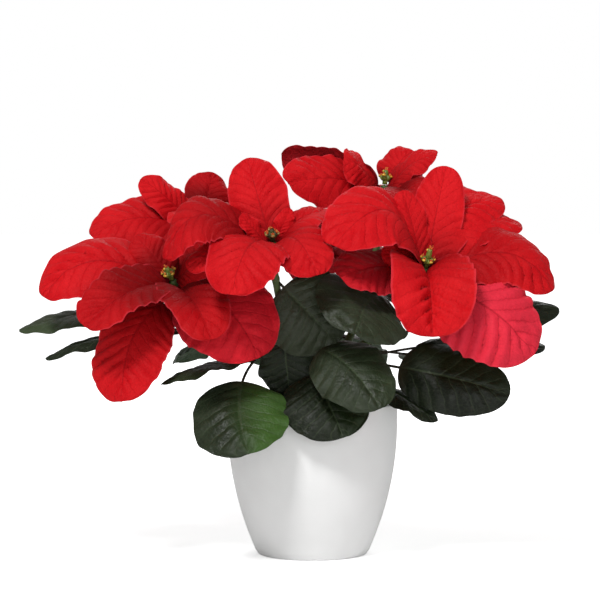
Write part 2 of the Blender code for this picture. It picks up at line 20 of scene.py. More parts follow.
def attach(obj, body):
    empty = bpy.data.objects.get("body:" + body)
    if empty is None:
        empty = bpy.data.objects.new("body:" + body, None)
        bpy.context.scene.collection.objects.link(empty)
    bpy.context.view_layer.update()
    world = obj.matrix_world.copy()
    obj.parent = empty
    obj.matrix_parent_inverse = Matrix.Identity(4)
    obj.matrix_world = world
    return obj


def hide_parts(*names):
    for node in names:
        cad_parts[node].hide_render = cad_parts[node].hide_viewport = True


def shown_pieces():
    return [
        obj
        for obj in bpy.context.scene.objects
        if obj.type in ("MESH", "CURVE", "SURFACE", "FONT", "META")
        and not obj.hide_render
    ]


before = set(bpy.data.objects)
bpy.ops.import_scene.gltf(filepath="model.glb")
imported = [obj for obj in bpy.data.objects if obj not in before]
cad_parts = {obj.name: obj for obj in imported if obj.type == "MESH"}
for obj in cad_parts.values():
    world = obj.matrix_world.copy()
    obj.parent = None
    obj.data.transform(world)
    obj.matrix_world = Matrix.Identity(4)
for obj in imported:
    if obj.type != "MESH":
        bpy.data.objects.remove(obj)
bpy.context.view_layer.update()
print("nodes in the part:", sorted(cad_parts))

# %% [markdown]
# ## Directions and curves
#
# A midrib, a leaf stalk and a stem are all bent lines. A cubic Bezier curve is enough for
# each: it leaves its seat one way and arrives at its tip another way. Steps of even length
# along it keep the veins evenly spaced, which steps of the curve's own measure would not.
# GAP is the play between two pieces that meet, in millimetres, as in the solids.

# %% Directions and curves
MM = 0.001
GAP = 0.3
UP = (0.0, 0.0, 1.0)
CURVE_SAMPLES = 65


def unit(vector):
    """The vector at length 1."""
    vector = np.asarray(vector, float)
    return vector / np.linalg.norm(vector)


def square_to(vector, line):
    """The part of the vector that is square to the line, at length 1."""
    vector = np.asarray(vector, float)
    return unit(vector - vector.dot(unit(line)) * unit(line))


def bezier(handles, t):
    """Points and directions of a cubic curve at the shares t."""
    a, b, c, d = (np.asarray(handle, float) for handle in handles)
    t = np.asarray(t, float)[:, None]
    points = (1 - t) ** 3 * a + 3 * (1 - t) ** 2 * t * b + 3 * (1 - t) * t**2 * c + t**3 * d
    slopes = 3 * (1 - t) ** 2 * (b - a) + 6 * (1 - t) * t * (c - b) + 3 * t**2 * (d - c)
    return points, slopes / np.linalg.norm(slopes, axis=1, keepdims=True)


def even_steps(handles, shares):
    """The curve's own t at these shares of its length."""
    t = np.linspace(0.0, 1.0, CURVE_SAMPLES)
    points, _ = bezier(handles, t)
    steps = np.linalg.norm(np.diff(points, axis=0), axis=1)
    length = np.concatenate([[0.0], np.cumsum(steps)])
    return np.interp(np.asarray(shares) * length[-1], length, t)


trial = ((0, 0, 0), (0, 0, 40), (60, 0, 60), (90, 0, 20))
print("t at each quarter of a trial curve:", even_steps(trial, (0.25, 0.5, 0.75)).round(3))

# %% [markdown]
# ## How a blade and a head are written down
#
# A bract is a coloured leaf. Both are blades here: they share one form and differ in
# outline, veins and stalk. A named tuple is a small fixed record, which is all that a line
# of the plan needs.

# %% How a blade and a head are written down


class Outline(NamedTuple):
    """A kind of blade.

    widest is the share of its length at which it is widest, fullness the power that makes
    its ellipse slimmer below 1, and stalk_steps the number of rows in its stalk. Each half
    has about vein_count side veins, which lean forward by vein_lean of the length, and
    quilt is the height in millimetres of the swellings between them.
    """

    widest: float
    fullness: float
    stalk_steps: int
    vein_count: float
    vein_lean: float
    quilt: float


BRACT = Outline(widest=0.48, fullness=0.74, stalk_steps=4, vein_count=9.0, vein_lean=0.34, quilt=3.5)
LEAF = Outline(widest=0.44, fullness=0.9, stalk_steps=12, vein_count=8.0, vein_lean=0.3, quilt=1.5)


class Blade(NamedTuple):
    """One bract or leaf.

    tip is where it ends, width its full width, face the way its upper side looks. The
    midrib bows out towards bow, or face where there is none: it leaves its seat by rise
    and comes down on the tip from hook. fold is the angle that each half is lifted at
    the midrib and droop the angle that it turns back by at its edge. wave is the height
    of the waves in the edge, stalk the share of the length before the blade, and seat
    the share of the shoot's length at which a leaf sits.
    """

    tip: tuple
    width: float
    face: tuple
    rise: float = 15.0
    hook: float = 15.0
    bow: tuple = ()
    fold: float = 12.0
    droop: float = 40.0
    wave: float = 2.0
    stalk: float = 0.05
    seat: float = 0.5


class Head(NamedTuple):
    """One head and its shoot.

    hub is the top of the hub and axis the way it looks. Neighbouring shoots leave the
    main stem at two heights in turn, low_collar at the lower one. cups counts the
    cyathia, and bud is how much longer the middle one is. Bracts are listed from the
    oldest, at the foot of the hub, to the youngest.
    """

    hub: tuple
    axis: tuple
    low_collar: bool
    cups: int
    bud: float
    bracts: tuple
    leaves: tuple


print("side veins in half a bract:", BRACT.vein_count, "and in half a leaf:", LEAF.vein_count)

# %% [markdown]
# ## The plan of the plant
#
# A pinched poinsettia sends up side shoots, and each shoot ends in a head of coloured
# bracts. The plan lists them one by one, because a photo shows particular bracts: where
# each one ends, how wide it is, and which way its upper side looks. The same numbers made
# the solids, so a blade drawn from them lies where its solid lies.
#
# The left head comes first. It leans out to the left and towards the viewer. Two
# broad old bracts hang down in front, and a long leaf reaches out under it.

# %% The left head
HEADS = {}
HEADS["left"] = Head(
    hub=(-126, -60, 255),
    axis=(-0.35, -0.45, 0.82),
    low_collar=False,
    cups=6,
    bud=3,
    bracts=(
        Blade((-168, -110, 150), 70, (-0.2, -0.85, 0.45), 24, 22, (-0.8, -0.4, 0.3), fold=10, stalk=0.14),
        Blade((-48, -108, 188), 94, (0.12, -0.85, 0.45), 28, 32, (0.45, -0.7, 0.5), fold=6),
        Blade((-215, 5, 250), 50, (-0.2, -0.3, 0.93), 25, 20),
        Blade((-241, -75, 241), 70, (-0.15, -0.75, 0.65), 30, 46, bow=UP),
        Blade((-88, -135, 206), 60, (0.1, -0.75, 0.65), 15, 25, fold=48, stalk=0.02),
        Blade((-199, -125, 217), 60, (0.1, -0.55, 0.83), 20, 25, fold=42),
        Blade((-84, 5, 290), 56, (0.0, -0.6, 0.8), 12, 12),
        Blade((-160, -45, 294), 40, (0.3, -0.95, 0.1), 8, 10),
        Blade((-76, -85, 280), 42, (0.0, -0.75, 0.65), 8, 12),
    ),
    leaves=(
        Blade((-268, -20, 208), 52, (0.0, -0.3, 0.95), 15, 20, stalk=0.3, seat=0.75),
        Blade((-240, -60, 184), 50, (-0.1, -0.1, 1.0), 15, 20, stalk=0.3, seat=0.6),
        Blade((-209, 10, 188), 50, (-0.2, 0.1, 0.95), 15, 20, stalk=0.3, seat=0.5),
        Blade((-56, -128, 106), 90, (-0.1, -0.8, 0.6), 26, 22, (-0.8, -0.2, 0.5), stalk=0.4, seat=0.3),
        Blade((-66, -22, 176), 50, (-0.1, -0.9, 0.4), 8, 10, stalk=0.3, seat=0.5),
    ),
)
print("bracts:", len(HEADS["left"].bracts), "leaves:", len(HEADS["left"].leaves))

# %% [markdown]
# ## The centre head
#
# It stands furthest forward, so its old bracts spread out towards the viewer. Behind
# its flowers one bract stands up, and two small ones stand close beside them.

# %% The centre head
HEADS["centre"] = Head(
    hub=(-36, -85, 290),
    axis=(-0.05, -0.45, 0.89),
    low_collar=True,
    cups=7,
    bud=2,
    bracts=(
        Blade((-70, -160, 246), 74, (-0.15, -0.75, 0.65), 36, 38, (-0.1, -0.4, 0.9)),
        Blade((4, -134, 262), 58, (0.1, -0.8, 0.6), 36, 26, (0.1, -0.4, 0.9)),
        Blade((10, 0, 300), 50, (0.1, 0.4, 0.9), 15, 15),
        Blade((-85, 0, 300), 45, (-0.2, 0.3, 0.9), 15, 15),
        Blade((-132, -95, 275), 72, (-0.15, -0.6, 0.8), 30, 66, (-0.65, -0.2, 0.7)),
        Blade((28, -60, 312), 54, (0.0, -0.3, 0.95), 25, 22),
        Blade((-59, -50, 364), 54, (-0.15, -0.85, 0.5), 5, 12),
        Blade((-112, -98, 268), 34, (-0.1, -0.8, 0.6), 14, 14),
        Blade((-64, -93, 313), 22, (0.2, -0.7, 0.6), -4, 4),
        Blade((-20, -79, 319), 18, (0.1, -0.9, 0.2), -2, 3),
    ),
    leaves=(
        Blade((27, -98, 117), 86, (0.15, -0.9, 0.4), 20, 22, stalk=0.3, seat=0.2),
        Blade((59, -120, 145), 72, (0.15, -0.85, 0.5), 22, 25, (0.4, -0.6, 0.7), stalk=0.3, seat=0.35),
        Blade((22, -64, 197), 84, (-0.18, -0.9, 0.4), 8, 12, stalk=0.12, seat=0.84),
        Blade((-20, -45, 147), 54, (-0.2, -0.9, 0.4), 10, 10, stalk=0.3, seat=0.55),
        Blade((-135, -80, 163), 46, (0.0, 0.0, 1.0), 3, 12, stalk=0.35, seat=0.3),
        Blade((-30, 30, 210), 60, (0.0, -0.3, 0.95), 10, 12, stalk=0.3, seat=0.6),
    ),
)
print("bracts:", len(HEADS["centre"].bracts), "leaves:", len(HEADS["centre"].leaves))

# %% [markdown]
# ## The right head
#
# Its front bract is folded like an open book, and the one at its lower right is the
# broad pink one. A broad leaf in front of it grows from high on the shoot.

# %% The right head
HEADS["right"] = Head(
    hub=(101, -60, 266),
    axis=(0.2, -0.4, 0.89),
    low_collar=False,
    cups=6,
    bud=8,
    bracts=(
        Blade((195, -95, 190), 92, (0.1, -0.85, 0.5), 22, 37, fold=6),
        Blade((24, -105, 259), 58, (-0.15, -0.8, 0.6), 12, 15, bow=UP),
        Blade((110, 40, 280), 48, (0.1, 0.4, 0.9), 15, 12),
        Blade((104, -130, 208), 86, (0.12, -0.65, 0.72), 34, 26, (0.0, -0.4, 0.9), fold=60, stalk=0.02),
        Blade((215, -60, 245), 70, (0.1, -0.75, 0.65), 28, 50, bow=UP),
        Blade((191, -10, 304), 54, (-0.1, -0.7, 0.7), 30, 32, bow=UP),
        Blade((18, -124, 287), 74, (-0.1, -0.75, 0.65), 61, 60, bow=UP),
        Blade((174, 0, 327), 58, (-0.1, -0.85, 0.5), 36, 27, bow=UP),
        Blade((121, -30, 357), 50, (-0.1, -0.95, 0.3), 0, 8),
        Blade((62, -76, 284), 30, (0.0, -1.0, 0.3), 4, 6),
        Blade((80, -58, 335), 34, (0.3, -0.9, 0.3), 0, 6),
    ),
    leaves=(
        Blade((177, -60, 152), 66, (0.05, -0.9, 0.35), 12, 18, stalk=0.35, seat=0.2),
        Blade((112, -60, 128), 36, (0.0, -0.2, 0.95), 4, 10, stalk=0.35, seat=0.1),
        Blade((225, -20, 227), 50, (0.1, -0.6, 0.8), 15, 15, stalk=0.38, seat=0.35),
        Blade((214, -5, 192), 60, (0.1, -0.25, 0.95), 12, 15, stalk=0.38, seat=0.15),
        Blade((36, -122, 210), 92, (0.0, -0.9, 0.45), 46, 16, (-0.45, -0.1, 0.85), stalk=0.3, seat=0.75),
    ),
)
print("bracts:", len(HEADS["right"].bracts), "leaves:", len(HEADS["right"].leaves))

# %% [markdown]
# ## The back right head
#
# It is the tallest. From the front its upper bracts show, above the right head.

# %% The back right head
HEADS["back_right"] = Head(
    hub=(68, 50, 340),
    axis=(0.1, 0.05, 0.99),
    low_collar=True,
    cups=5,
    bud=3,
    bracts=(
        Blade((-22, -15, 341), 62, (-0.1, -0.85, 0.5), 15, 15, bow=UP),
        Blade((65, -15, 326), 44, (0.0, -0.2, 1.0), 12, 15),
        Blade((155, 100, 330), 46, (0.2, 0.3, 0.9), 15, 20),
        Blade((75, 152, 325), 46, (0.0, 0.4, 0.9), 12, 20),
        Blade((-8, 118, 335), 42, (-0.2, 0.3, 0.9), 10, 15),
        Blade((116, 30, 368), 36, (0.0, -0.6, 0.8), 8, 12, bow=UP),
        Blade((-29, 60, 365), 54, (0.0, 0.8, 0.6), 5, 10, bow=UP),
        Blade((97, 66, 371), 50, (-0.2, -0.8, 0.5), -4, 14, (-0.7, 0.0, 0.7), fold=0, stalk=0.2),
        Blade((29, 10, 366), 46, (0.2, -0.8, 0.6), 0, 8, fold=0, stalk=0.15),
        Blade((100, -2, 334), 44, (0.1, -0.95, 0.3), -4, 6, fold=0, stalk=0.15),
    ),
    leaves=(
        Blade((150, 50, 215), 60, (0.4, -0.1, 0.9), 18, 20, stalk=0.3, seat=0.45),
        Blade((110, 130, 235), 60, (0.3, 0.4, 0.85), 18, 20, stalk=0.3, seat=0.6),
        Blade((165, 90, 145), 56, (0.3, 0.2, 0.9), 18, 20, stalk=0.4, seat=0.2),
        Blade((118, -10, 232), 56, (0.2, -0.2, 0.95), 10, 14, stalk=0.3, seat=0.5),
    ),
)
print("bracts:", len(HEADS["back_right"].bracts), "leaves:", len(HEADS["back_right"].leaves))

# %% [markdown]
# ## The back left head
#
# Its bracts show above the left head, and a narrow one stands up among them.

# %% The back left head
HEADS["back_left"] = Head(
    hub=(-105, 50, 310),
    axis=(-0.15, 0.0, 0.98),
    low_collar=True,
    cups=5,
    bud=3,
    bracts=(
        Blade((-204, 20, 291), 58, (0.0, -0.75, 0.65), 18, 25, bow=UP),
        Blade((-195, 105, 300), 44, (-0.2, 0.3, 0.9), 15, 20),
        Blade((-110, 160, 295), 48, (0.0, 0.4, 0.9), 12, 20),
        Blade((-30, 100, 320), 44, (0.2, 0.2, 0.95), 12, 15),
        Blade((-122, -25, 305), 38, (0.0, -0.4, 0.9), 12, 15),
        Blade((-46, 14, 318), 36, (0.2, -0.3, 0.9), 10, 12),
        Blade((-161, 40, 345), 38, (0.1, -0.8, 0.6), -7, 8),
        Blade((-95, 84, 352), 46, (0.1, -0.95, -0.1), -6, 3),
    ),
    leaves=(
        Blade((-170, 90, 200), 60, (-0.4, 0.2, 0.9), 18, 20, stalk=0.3, seat=0.5),
        Blade((-90, 140, 215), 60, (-0.1, 0.5, 0.85), 18, 20, stalk=0.3, seat=0.6),
        Blade((-130, 85, 170), 60, (-0.4, 0.3, 0.85), 18, 20, stalk=0.35, seat=0.3),
        Blade((-92, -12, 232), 54, (-0.1, -0.2, 0.95), 10, 14, stalk=0.3, seat=0.55),
    ),
)
print("bracts:", len(HEADS["back_left"].bracts), "leaves:", len(HEADS["back_left"].leaves))

# %% [markdown]
# ## The head on the far side
#
# It makes the plant whole from behind, because a real one has heads all round.

# %% The head on the far side
HEADS["back"] = Head(
    hub=(0, 105, 285),
    axis=(0.0, 0.45, 0.89),
    low_collar=False,
    cups=5,
    bud=3,
    bracts=(
        Blade((0, 210, 240), 60, (0.0, 0.7, 0.7), 16, 28),
        Blade((-98, 150, 245), 52, (-0.3, 0.5, 0.8), 20, 25),
        Blade((98, 155, 245), 52, (0.3, 0.5, 0.8), 20, 25),
        Blade((-60, 190, 265), 50, (-0.1, 0.5, 0.85), 18, 20, fold=25),
        Blade((55, 195, 268), 50, (0.1, 0.5, 0.85), 18, 20, fold=25),
        Blade((60, 90, 290), 44, (0.2, 0.2, 0.95), 12, 12),
        Blade((-60, 90, 285), 44, (-0.2, 0.2, 0.95), 12, 12),
        Blade((0, 165, 310), 40, (0.0, 0.4, 0.9), 4, 10),
        Blade((5, 70, 315), 36, (0.0, -0.3, 0.9), 4, 8),
    ),
    leaves=(
        Blade((-60, 150, 165), 70, (-0.2, 0.7, 0.65), 18, 22, stalk=0.3, seat=0.35),
        Blade((60, 150, 160), 70, (0.2, 0.7, 0.65), 18, 22, stalk=0.3, seat=0.3),
        Blade((0, 170, 190), 74, (0.0, 0.8, 0.6), 18, 22, stalk=0.3, seat=0.55),
        Blade((8, 12, 238), 54, (0.0, -0.2, 0.95), 10, 14, stalk=0.35, seat=0.6),
    ),
)
print("bracts:", len(HEADS["back"].bracts), "leaves:", len(HEADS["back"].leaves))

# %% [markdown]
# ## One blade as a sheet
#
# A leaf is a thin sheet with two skins and a rim. One way is to draw a sheet and give it a
# Solidify modifier. Here the two skins are wanted apart, because the midrib is sunk above
# and stands out below. So a flat grid is extruded once into a closed double sheet, and that
# template is copied for each blade and its points are moved to where the blade's formula
# puts them. The edges of its rim are marked sharp. Its UV map runs from edge to edge in U,
# and in V from the foot of the stalk, with the blade itself starting at BLADE_START.

# %% A closed double sheet, made once
ROW_STEPS = 76
COLUMN_STEPS = 24
BLADE_START = 0.2
END_CROWD = 0.6
COLUMN_CROWD = 0.06


def column_places():
    """Columns from edge to edge, closer together at the midrib and at both edges."""
    t = np.linspace(-1.0, 1.0, COLUMN_STEPS + 1)
    return t - COLUMN_CROWD * np.sin(2 * np.pi * t)


def row_places(kind, stalk):
    """Rows from seat to tip as shares of the length, closer at both ends of the blade."""
    steps = np.linspace(0.0, 1.0, ROW_STEPS + 1)
    blade = steps - END_CROWD * np.sin(2 * np.pi * steps) / (2 * np.pi)
    foot = np.linspace(0.0, stalk, kind.stalk_steps, endpoint=False)
    return np.concatenate([foot, stalk + (1 - stalk) * blade])


def mesh_from(bm, name):
    """The bmesh as a mesh of this name. The bmesh is given up."""
    mesh = bpy.data.meshes.new(name)
    bm.to_mesh(mesh)
    bm.free()
    return mesh


def sheet_template(kind):
    """A closed double sheet whose points carry their column, row and skin as coordinates."""
    rows = ROW_STEPS + kind.stalk_steps
    across = column_places()
    along = row_places(kind, BLADE_START)
    bm = bmesh.new()
    uv = bm.loops.layers.uv.new("blade")
    bmesh.ops.create_grid(bm, x_segments=COLUMN_STEPS, y_segments=rows, size=1.0)
    for vert in bm.verts:
        column = round((vert.co.x + 1.0) / 2.0 * COLUMN_STEPS)
        row = round((vert.co.y + 1.0) / 2.0 * rows)
        vert.co = (column, row, 0.0)
    grown = bmesh.ops.extrude_face_region(bm, geom=bm.faces[:])
    lower = [item for item in grown["geom"] if isinstance(item, bmesh.types.BMVert)]
    bmesh.ops.translate(bm, verts=lower, vec=(0.0, 0.0, -1.0))
    bmesh.ops.recalc_face_normals(bm, faces=bm.faces)
    for face in bm.faces:
        face.smooth = True
        rim = len({round(vert.co.z) for vert in face.verts}) == 2
        for edge in face.edges:
            if rim and len({round(vert.co.z) for vert in edge.verts}) == 1:
                edge.smooth = False
        for loop in face.loops:
            column, row, _ = loop.vert.co
            loop[uv].uv = (0.5 + 0.5 * across[round(column)], along[round(row)])
    return mesh_from(bm, "sheet")


TEMPLATES = {kind: sheet_template(kind) for kind in (BRACT, LEAF)}
print("faces of a bract sheet:", len(TEMPLATES[BRACT].polygons))

# %% [markdown]
# ## Quilting, folds and wrinkles
#
# Between two side veins the skin of a real bract swells like a quilt, along them it is
# drawn in, and the midrib lies in a groove. The tip is wrinkled, and no two blades are
# folded alike. It could be painted on as bump, but the pleats are a millimetre deep and
# catch the light from the side, so they are real shape. The unevenness comes from noise,
# which reads the same layer for the same seed, so that each run gives the same plant.

# %% Quilting, folds and wrinkles
USUAL_WIDTH = 75.0
LARGEST_SIZE = 1.3
VEIN_CURL = 0.35
VEIN_STAGGER = 0.5
MIDRIB_CLEAR = 0.14
QUILT_LEVEL = 0.6
QUILT_FADE = 0.35
UNEVEN_LAYER = 31.0
UNEVEN_SCALE = 1.6
UNEVEN_LEVEL = 0.75
UNEVEN_AMOUNT = 1.8
UNEVEN_LIMITS = (0.15, 1.7)
GROOVE_WIDTH = 1.3
GROOVE_DEPTH = 0.9
FOLD_HEIGHT = 3.2
FOLD_SCALE = 1.7
PUCKER_HEIGHT = 4.2
PUCKER_LAYER = 11.0
PUCKER_SCALE = 7.5
FLUTTER_HEIGHT = 0.9
FLUTTERS = 5.3
NOISE_STRETCH = 1.3


def vein_place(kind, share, v):
    """Counts side veins from the stalk: it is a whole number on each vein."""
    lean = kind.vein_lean
    forward = lean * abs(v) - VEIN_CURL * lean * v**2
    return (share - forward) * kind.vein_count + VEIN_STAGGER * (v > 0)


def crumple(share, v, seed, scale):
    """Soft uneven folds, from noise laid over the blade."""
    grid = np.empty(np.broadcast(share, v).shape)
    wide, tall = np.broadcast_arrays(v, share)
    for place in np.ndindex(grid.shape):
        point = (wide[place] * scale, tall[place] * scale * NOISE_STRETCH, seed)
        grid[place] = noise.noise(Vector(point))
    return grid


def relief(kind, blade, share, v, half, seed, pleats):
    """Height above the smooth blade in millimetres: quilting, groove, folds, tip and edge."""
    size = min(blade.width / USUAL_WIDTH, LARGEST_SIZE)
    ridge = abs(np.sin(np.pi * vein_place(kind, share, v))) - QUILT_LEVEL
    beside = np.clip(abs(v) / MIDRIB_CLEAR, 0.0, 1.0)
    inside = np.clip(np.sin(np.pi * share), 0.0, 1.0) ** 0.5
    near_tip = np.clip(share * 2.6 - 1.5, 0.0, 1.0)
    uneven = UNEVEN_LEVEL + UNEVEN_AMOUNT * crumple(share, v, seed + UNEVEN_LAYER, UNEVEN_SCALE)
    quilt = kind.quilt * size * ridge * beside * inside * (1.0 - QUILT_FADE * v**2)
    quilt = quilt * np.clip(uneven, *UNEVEN_LIMITS) * pleats
    groove = -GROOVE_DEPTH * size * np.exp(-((v * half / GROOVE_WIDTH) ** 2)) * inside
    folds = FOLD_HEIGHT * size * crumple(share, v, seed, FOLD_SCALE) * inside
    pucker = PUCKER_HEIGHT * size * crumple(share, v, seed + PUCKER_LAYER, PUCKER_SCALE)
    flutter = FLUTTER_HEIGHT * size * v**4 * np.sin(2 * np.pi * FLUTTERS * share + seed)
    return quilt + groove + folds + pucker * near_tip * inside + flutter * inside


print("pleats of a bract, in mm:", round(BRACT.quilt * (1.0 - QUILT_LEVEL), 2))

# %% [markdown]
# ## The midrib and the width of a blade
#
# The midrib is one curve from seat to tip, and the blade hangs on it. At each row of the
# sheet the curve gives a point, a way to the side and a way up. The outline is an ellipse
# pulled towards the stalk, so the width follows from the share of the length.

# %% The midrib and the width of a blade
STALK_HALF_WIDTH = 1.3
TIP_HALF_WIDTH = 0.25


def blade_line(blade, seat, rows):
    """Points of the midrib from seat to tip, with the ways to the side and up at each."""
    tip = np.asarray(blade.tip, float)
    chord = tip - seat
    bow = square_to(blade.bow or blade.face, chord)
    rising = seat + chord / 3 + bow * blade.rise
    falling = tip - chord / 3 + bow * blade.hook
    handles = (seat, rising, falling, tip)
    points, along = bezier(handles, even_steps(handles, rows))
    side = np.cross(unit(chord), square_to(blade.face, chord))
    side = side - (along @ side)[:, None] * along
    side = side / np.linalg.norm(side, axis=1, keepdims=True)
    return points, side, np.cross(side, along)


def half_widths(kind, blade, share):
    """Half the blade's width at each share of its length."""
    even = share ** (math.log(0.5) / math.log(kind.widest))
    half = blade.width / 2 * (2 * np.sqrt(np.clip(even * (1 - even), 0, 1))) ** kind.fullness
    return np.maximum(half, np.where(share < 0.5, STALK_HALF_WIDTH, TIP_HALF_WIDTH))


widths = [bract.width for head in HEADS.values() for bract in head.bracts]
print("the bracts are", min(widths), "to", max(widths), "mm wide")

# %% [markdown]
# ## The two skins of a blade
#
# Each half is lifted at the midrib and turns back at its edge, and the edge waves. That
# much is in the solid too. The upper skin is laid along the midrib with the relief on it.
# The lower skin is the upper one moved down by the thickness, which is greater under the
# midrib and round in the stalk.

# %% The two skins of a blade
BLADE_THICKNESS = 0.6
EDGE_THICKNESS = 0.32
STALK_THICKNESS = 2.2
STALK_LEAST = 0.2
STALK_FADE = 0.12
RIB_HEIGHT = 0.9
RIB_WIDTH = 1.1
WAVES = 2.4
WAVE_STAGGER = 1.9
EDGE_UNEVEN = 0.12
EDGE_SCALE = 2.6
EDGE_LAYER = 51.0


def blade_skins(blade, seat, kind, phase, seed, pleats):
    """Upper and lower skin, each an array of rows from seat to tip by columns."""
    rows = row_places(kind, blade.stalk)
    points, side, normal = blade_line(blade, seat, rows)
    share = np.clip((rows - blade.stalk) / (1 - blade.stalk), 0.0, 1.0)[:, None]
    half = half_widths(kind, blade, share)
    v = column_places()[None, :]

    lift = math.radians(blade.fold) * (1 - 0.5 * share)
    back = math.radians(max(blade.droop, 1.0))
    across = (np.sin(lift) - np.sin(lift - back * abs(v))) / back * np.sign(v)
    height = (np.cos(lift - back * abs(v)) - np.cos(lift)) / back
    ripple = np.sin(2 * math.pi * WAVES * share + phase + WAVE_STAGGER * (v > 0))
    height = height * half + blade.wave * v**2 * ripple * (half / half.max())
    height = height + relief(kind, blade, share, v, half, seed, pleats)
    uneven = EDGE_UNEVEN * crumple(share * EDGE_SCALE, np.sign(v), seed + EDGE_LAYER, 1.0) * v**2
    across = across * half * (1.0 + uneven * np.sin(np.pi * share))

    stalky = np.clip(1.0 - share / STALK_FADE, 0.0, 1.0)
    round_top = np.sqrt(np.clip(1.0 - v**2, 0.0, 1.0))
    height = height - stalky * 0.5 * STALK_THICKNESS * (1.0 - round_top)
    upper = points[:, None, :] + across[:, :, None] * side[:, None, :]
    upper = upper + height[:, :, None] * normal[:, None, :]

    down = np.cross(np.gradient(upper, axis=1), np.gradient(upper, axis=0))
    down = down / np.maximum(np.linalg.norm(down, axis=2, keepdims=True), 1e-9)
    down = (1 - stalky[:, :, None]) * -down + stalky[:, :, None] * -normal[:, None, :]
    rib = RIB_HEIGHT * np.exp(-((v * half / RIB_WIDTH) ** 2)) * (1 - share) ** 0.5
    thin = BLADE_THICKNESS + (EDGE_THICKNESS - BLADE_THICKNESS) * v**4 + rib
    stem = np.maximum(STALK_THICKNESS * round_top, STALK_LEAST)
    thickness = (1 - stalky) * thin + stalky * stem
    return upper, upper + down * thickness[:, :, None], stalky


print("a bract is", BLADE_THICKNESS, "mm thick and", EDGE_THICKNESS, "mm at its edge")

# %% [markdown]
# ## Where everything is seated
#
# The main stem was pinched, so the shoots leave it near its top, each from a short collar.
# Leaves sit along a shoot. At its end the shoot carries a short hub, with the oldest bract
# at the foot of the hub and the youngest near its top, each on its own side.

# %% Where everything is seated
TRUNK_TOP = 160.0
COLLAR_REACH = 15.0
COLLAR_DROP = 7.0
COLLAR_STEP = 8.0
SHOOT_BEND = 0.35
HUB_RADIUS = 4.0
HUB_LENGTH = 15.0
LOWEST_SEAT = 12.5
HIGHEST_SEAT = 3.0
SEAT_FROM_AXIS = 0.5


def shoot_start(head):
    """The end of the collar on the main stem, and the way the shoot leaves it."""
    out = unit((head.hub[0], head.hub[1], 0.0))
    height = TRUNK_TOP - COLLAR_DROP - COLLAR_STEP * head.low_collar
    direction = unit(out + (0.0, 0.0, 1.0))
    return np.array((0.0, 0.0, height)) + direction * COLLAR_REACH, direction


def shoot_handles(head):
    """The shoot as a curve from its collar to the foot of its hub."""
    start, direction = shoot_start(head)
    start = start + direction * GAP
    axis = unit(head.axis)
    end = np.asarray(head.hub, float) - axis * (HUB_LENGTH + GAP)
    reach = np.linalg.norm(end - start) * SHOOT_BEND
    return (start, start + direction * reach, end - axis * reach, end)


def leaf_seat(head, leaf):
    """The point of the shoot that the leaf grows from."""
    handles = shoot_handles(head)
    seat, _ = bezier(handles, even_steps(handles, [leaf.seat]))
    return seat[0]


def hub_seat(head, index):
    """The point in the hub that this bract grows from, on the bract's own side."""
    axis = unit(head.axis)
    share = index / (len(head.bracts) - 1)
    depth = LOWEST_SEAT + (HIGHEST_SEAT - LOWEST_SEAT) * share
    middle = np.asarray(head.hub, float) - axis * depth
    out = np.asarray(head.bracts[index].tip, float) - middle
    return middle + unit(out - out.dot(axis) * axis) * HUB_RADIUS * SEAT_FROM_AXIS


for name, head in HEADS.items():
    start, _ = shoot_start(head)
    reach = float(np.linalg.norm(np.subtract(head.hub, start)))
    print(name, "shoot is", round(reach), "mm from collar to hub")

# %% [markdown]
# ## From blades to pieces
#
# All bracts of a head make one piece, and so do all leaves of a shoot, because that is how
# the solids divide them. The sheet is copied once for each blade, and all points are set in
# one go. Each point also gets four numbers for its material: the tone of its own blade,
# which is also the painted shade of blades in shade; how pink a bract is, and for a leaf
# how much painted glow of light shining through it shows; whether the point is on the
# under side; and whether it is on a stalk.

# %% From blades to pieces
random.seed(11)


def in_scene(name, data):
    """A new object of this name in the scene, at the origin."""
    piece = bpy.data.objects.new(name, data)
    bpy.context.scene.collection.objects.link(piece)
    return piece


def object_from(bm, name):
    """The bmesh as an object of this name, from millimetres to metres."""
    bmesh.ops.scale(bm, vec=(MM, MM, MM), verts=bm.verts)
    return in_scene(name, mesh_from(bm, name))


def ready(piece, replaced, slot, *materials):
    """Gives a piece its materials and its place among the nodes."""
    for material in materials:
        piece.data.materials.append(material)
    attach(piece, "root")
    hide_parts(*replaced)
    return piece


def set_values(mesh, name, values):
    """A number for each point of the mesh, which a material can read by its name."""
    layer = mesh.attributes.new(name, "FLOAT", "POINT")
    layer.data.foreach_set("value", np.asarray(values, dtype=np.float32))


def blades_piece(name, kind, placed):
    """One object of many blades. placed lists (blade, seat, phase, tint, fresh, pleats)."""
    template = TEMPLATES[kind]
    keys = np.empty(len(template.vertices) * 3)
    template.vertices.foreach_get("co", keys)
    column, row, skin = np.rint(keys).astype(int).reshape(-1, 3).T
    bm = bmesh.new()
    for _ in placed:
        bm.from_mesh(template)
    mesh = mesh_from(bm, name)
    points = []
    values = {"tint_and_shade": [], "pink_and_glow": [], "under": [], "stalky": []}
    for index, (blade, seat, phase, tint_and_shade, pink_and_glow, pleats) in enumerate(placed):
        seed = 7.0 * index + 3.1 * len(name)
        upper, lower, stalky = blade_skins(blade, seat, kind, phase, seed, pleats)
        points.append(np.where((skin == 0)[:, None], upper[row, column], lower[row, column]))
        values["tint_and_shade"].append(np.full(len(row), tint_and_shade))
        values["pink_and_glow"].append(np.full(len(row), pink_and_glow))
        values["under"].append((skin != 0).astype(float))
        values["stalky"].append(stalky[row, 0])
    mesh.vertices.foreach_set("co", np.concatenate(points).ravel() * MM)
    for label, numbers in values.items():
        set_values(mesh, label, np.concatenate(numbers))
    mesh.update()
    return in_scene(name, mesh)


print("points in one bract:", len(TEMPLATES[BRACT].vertices))

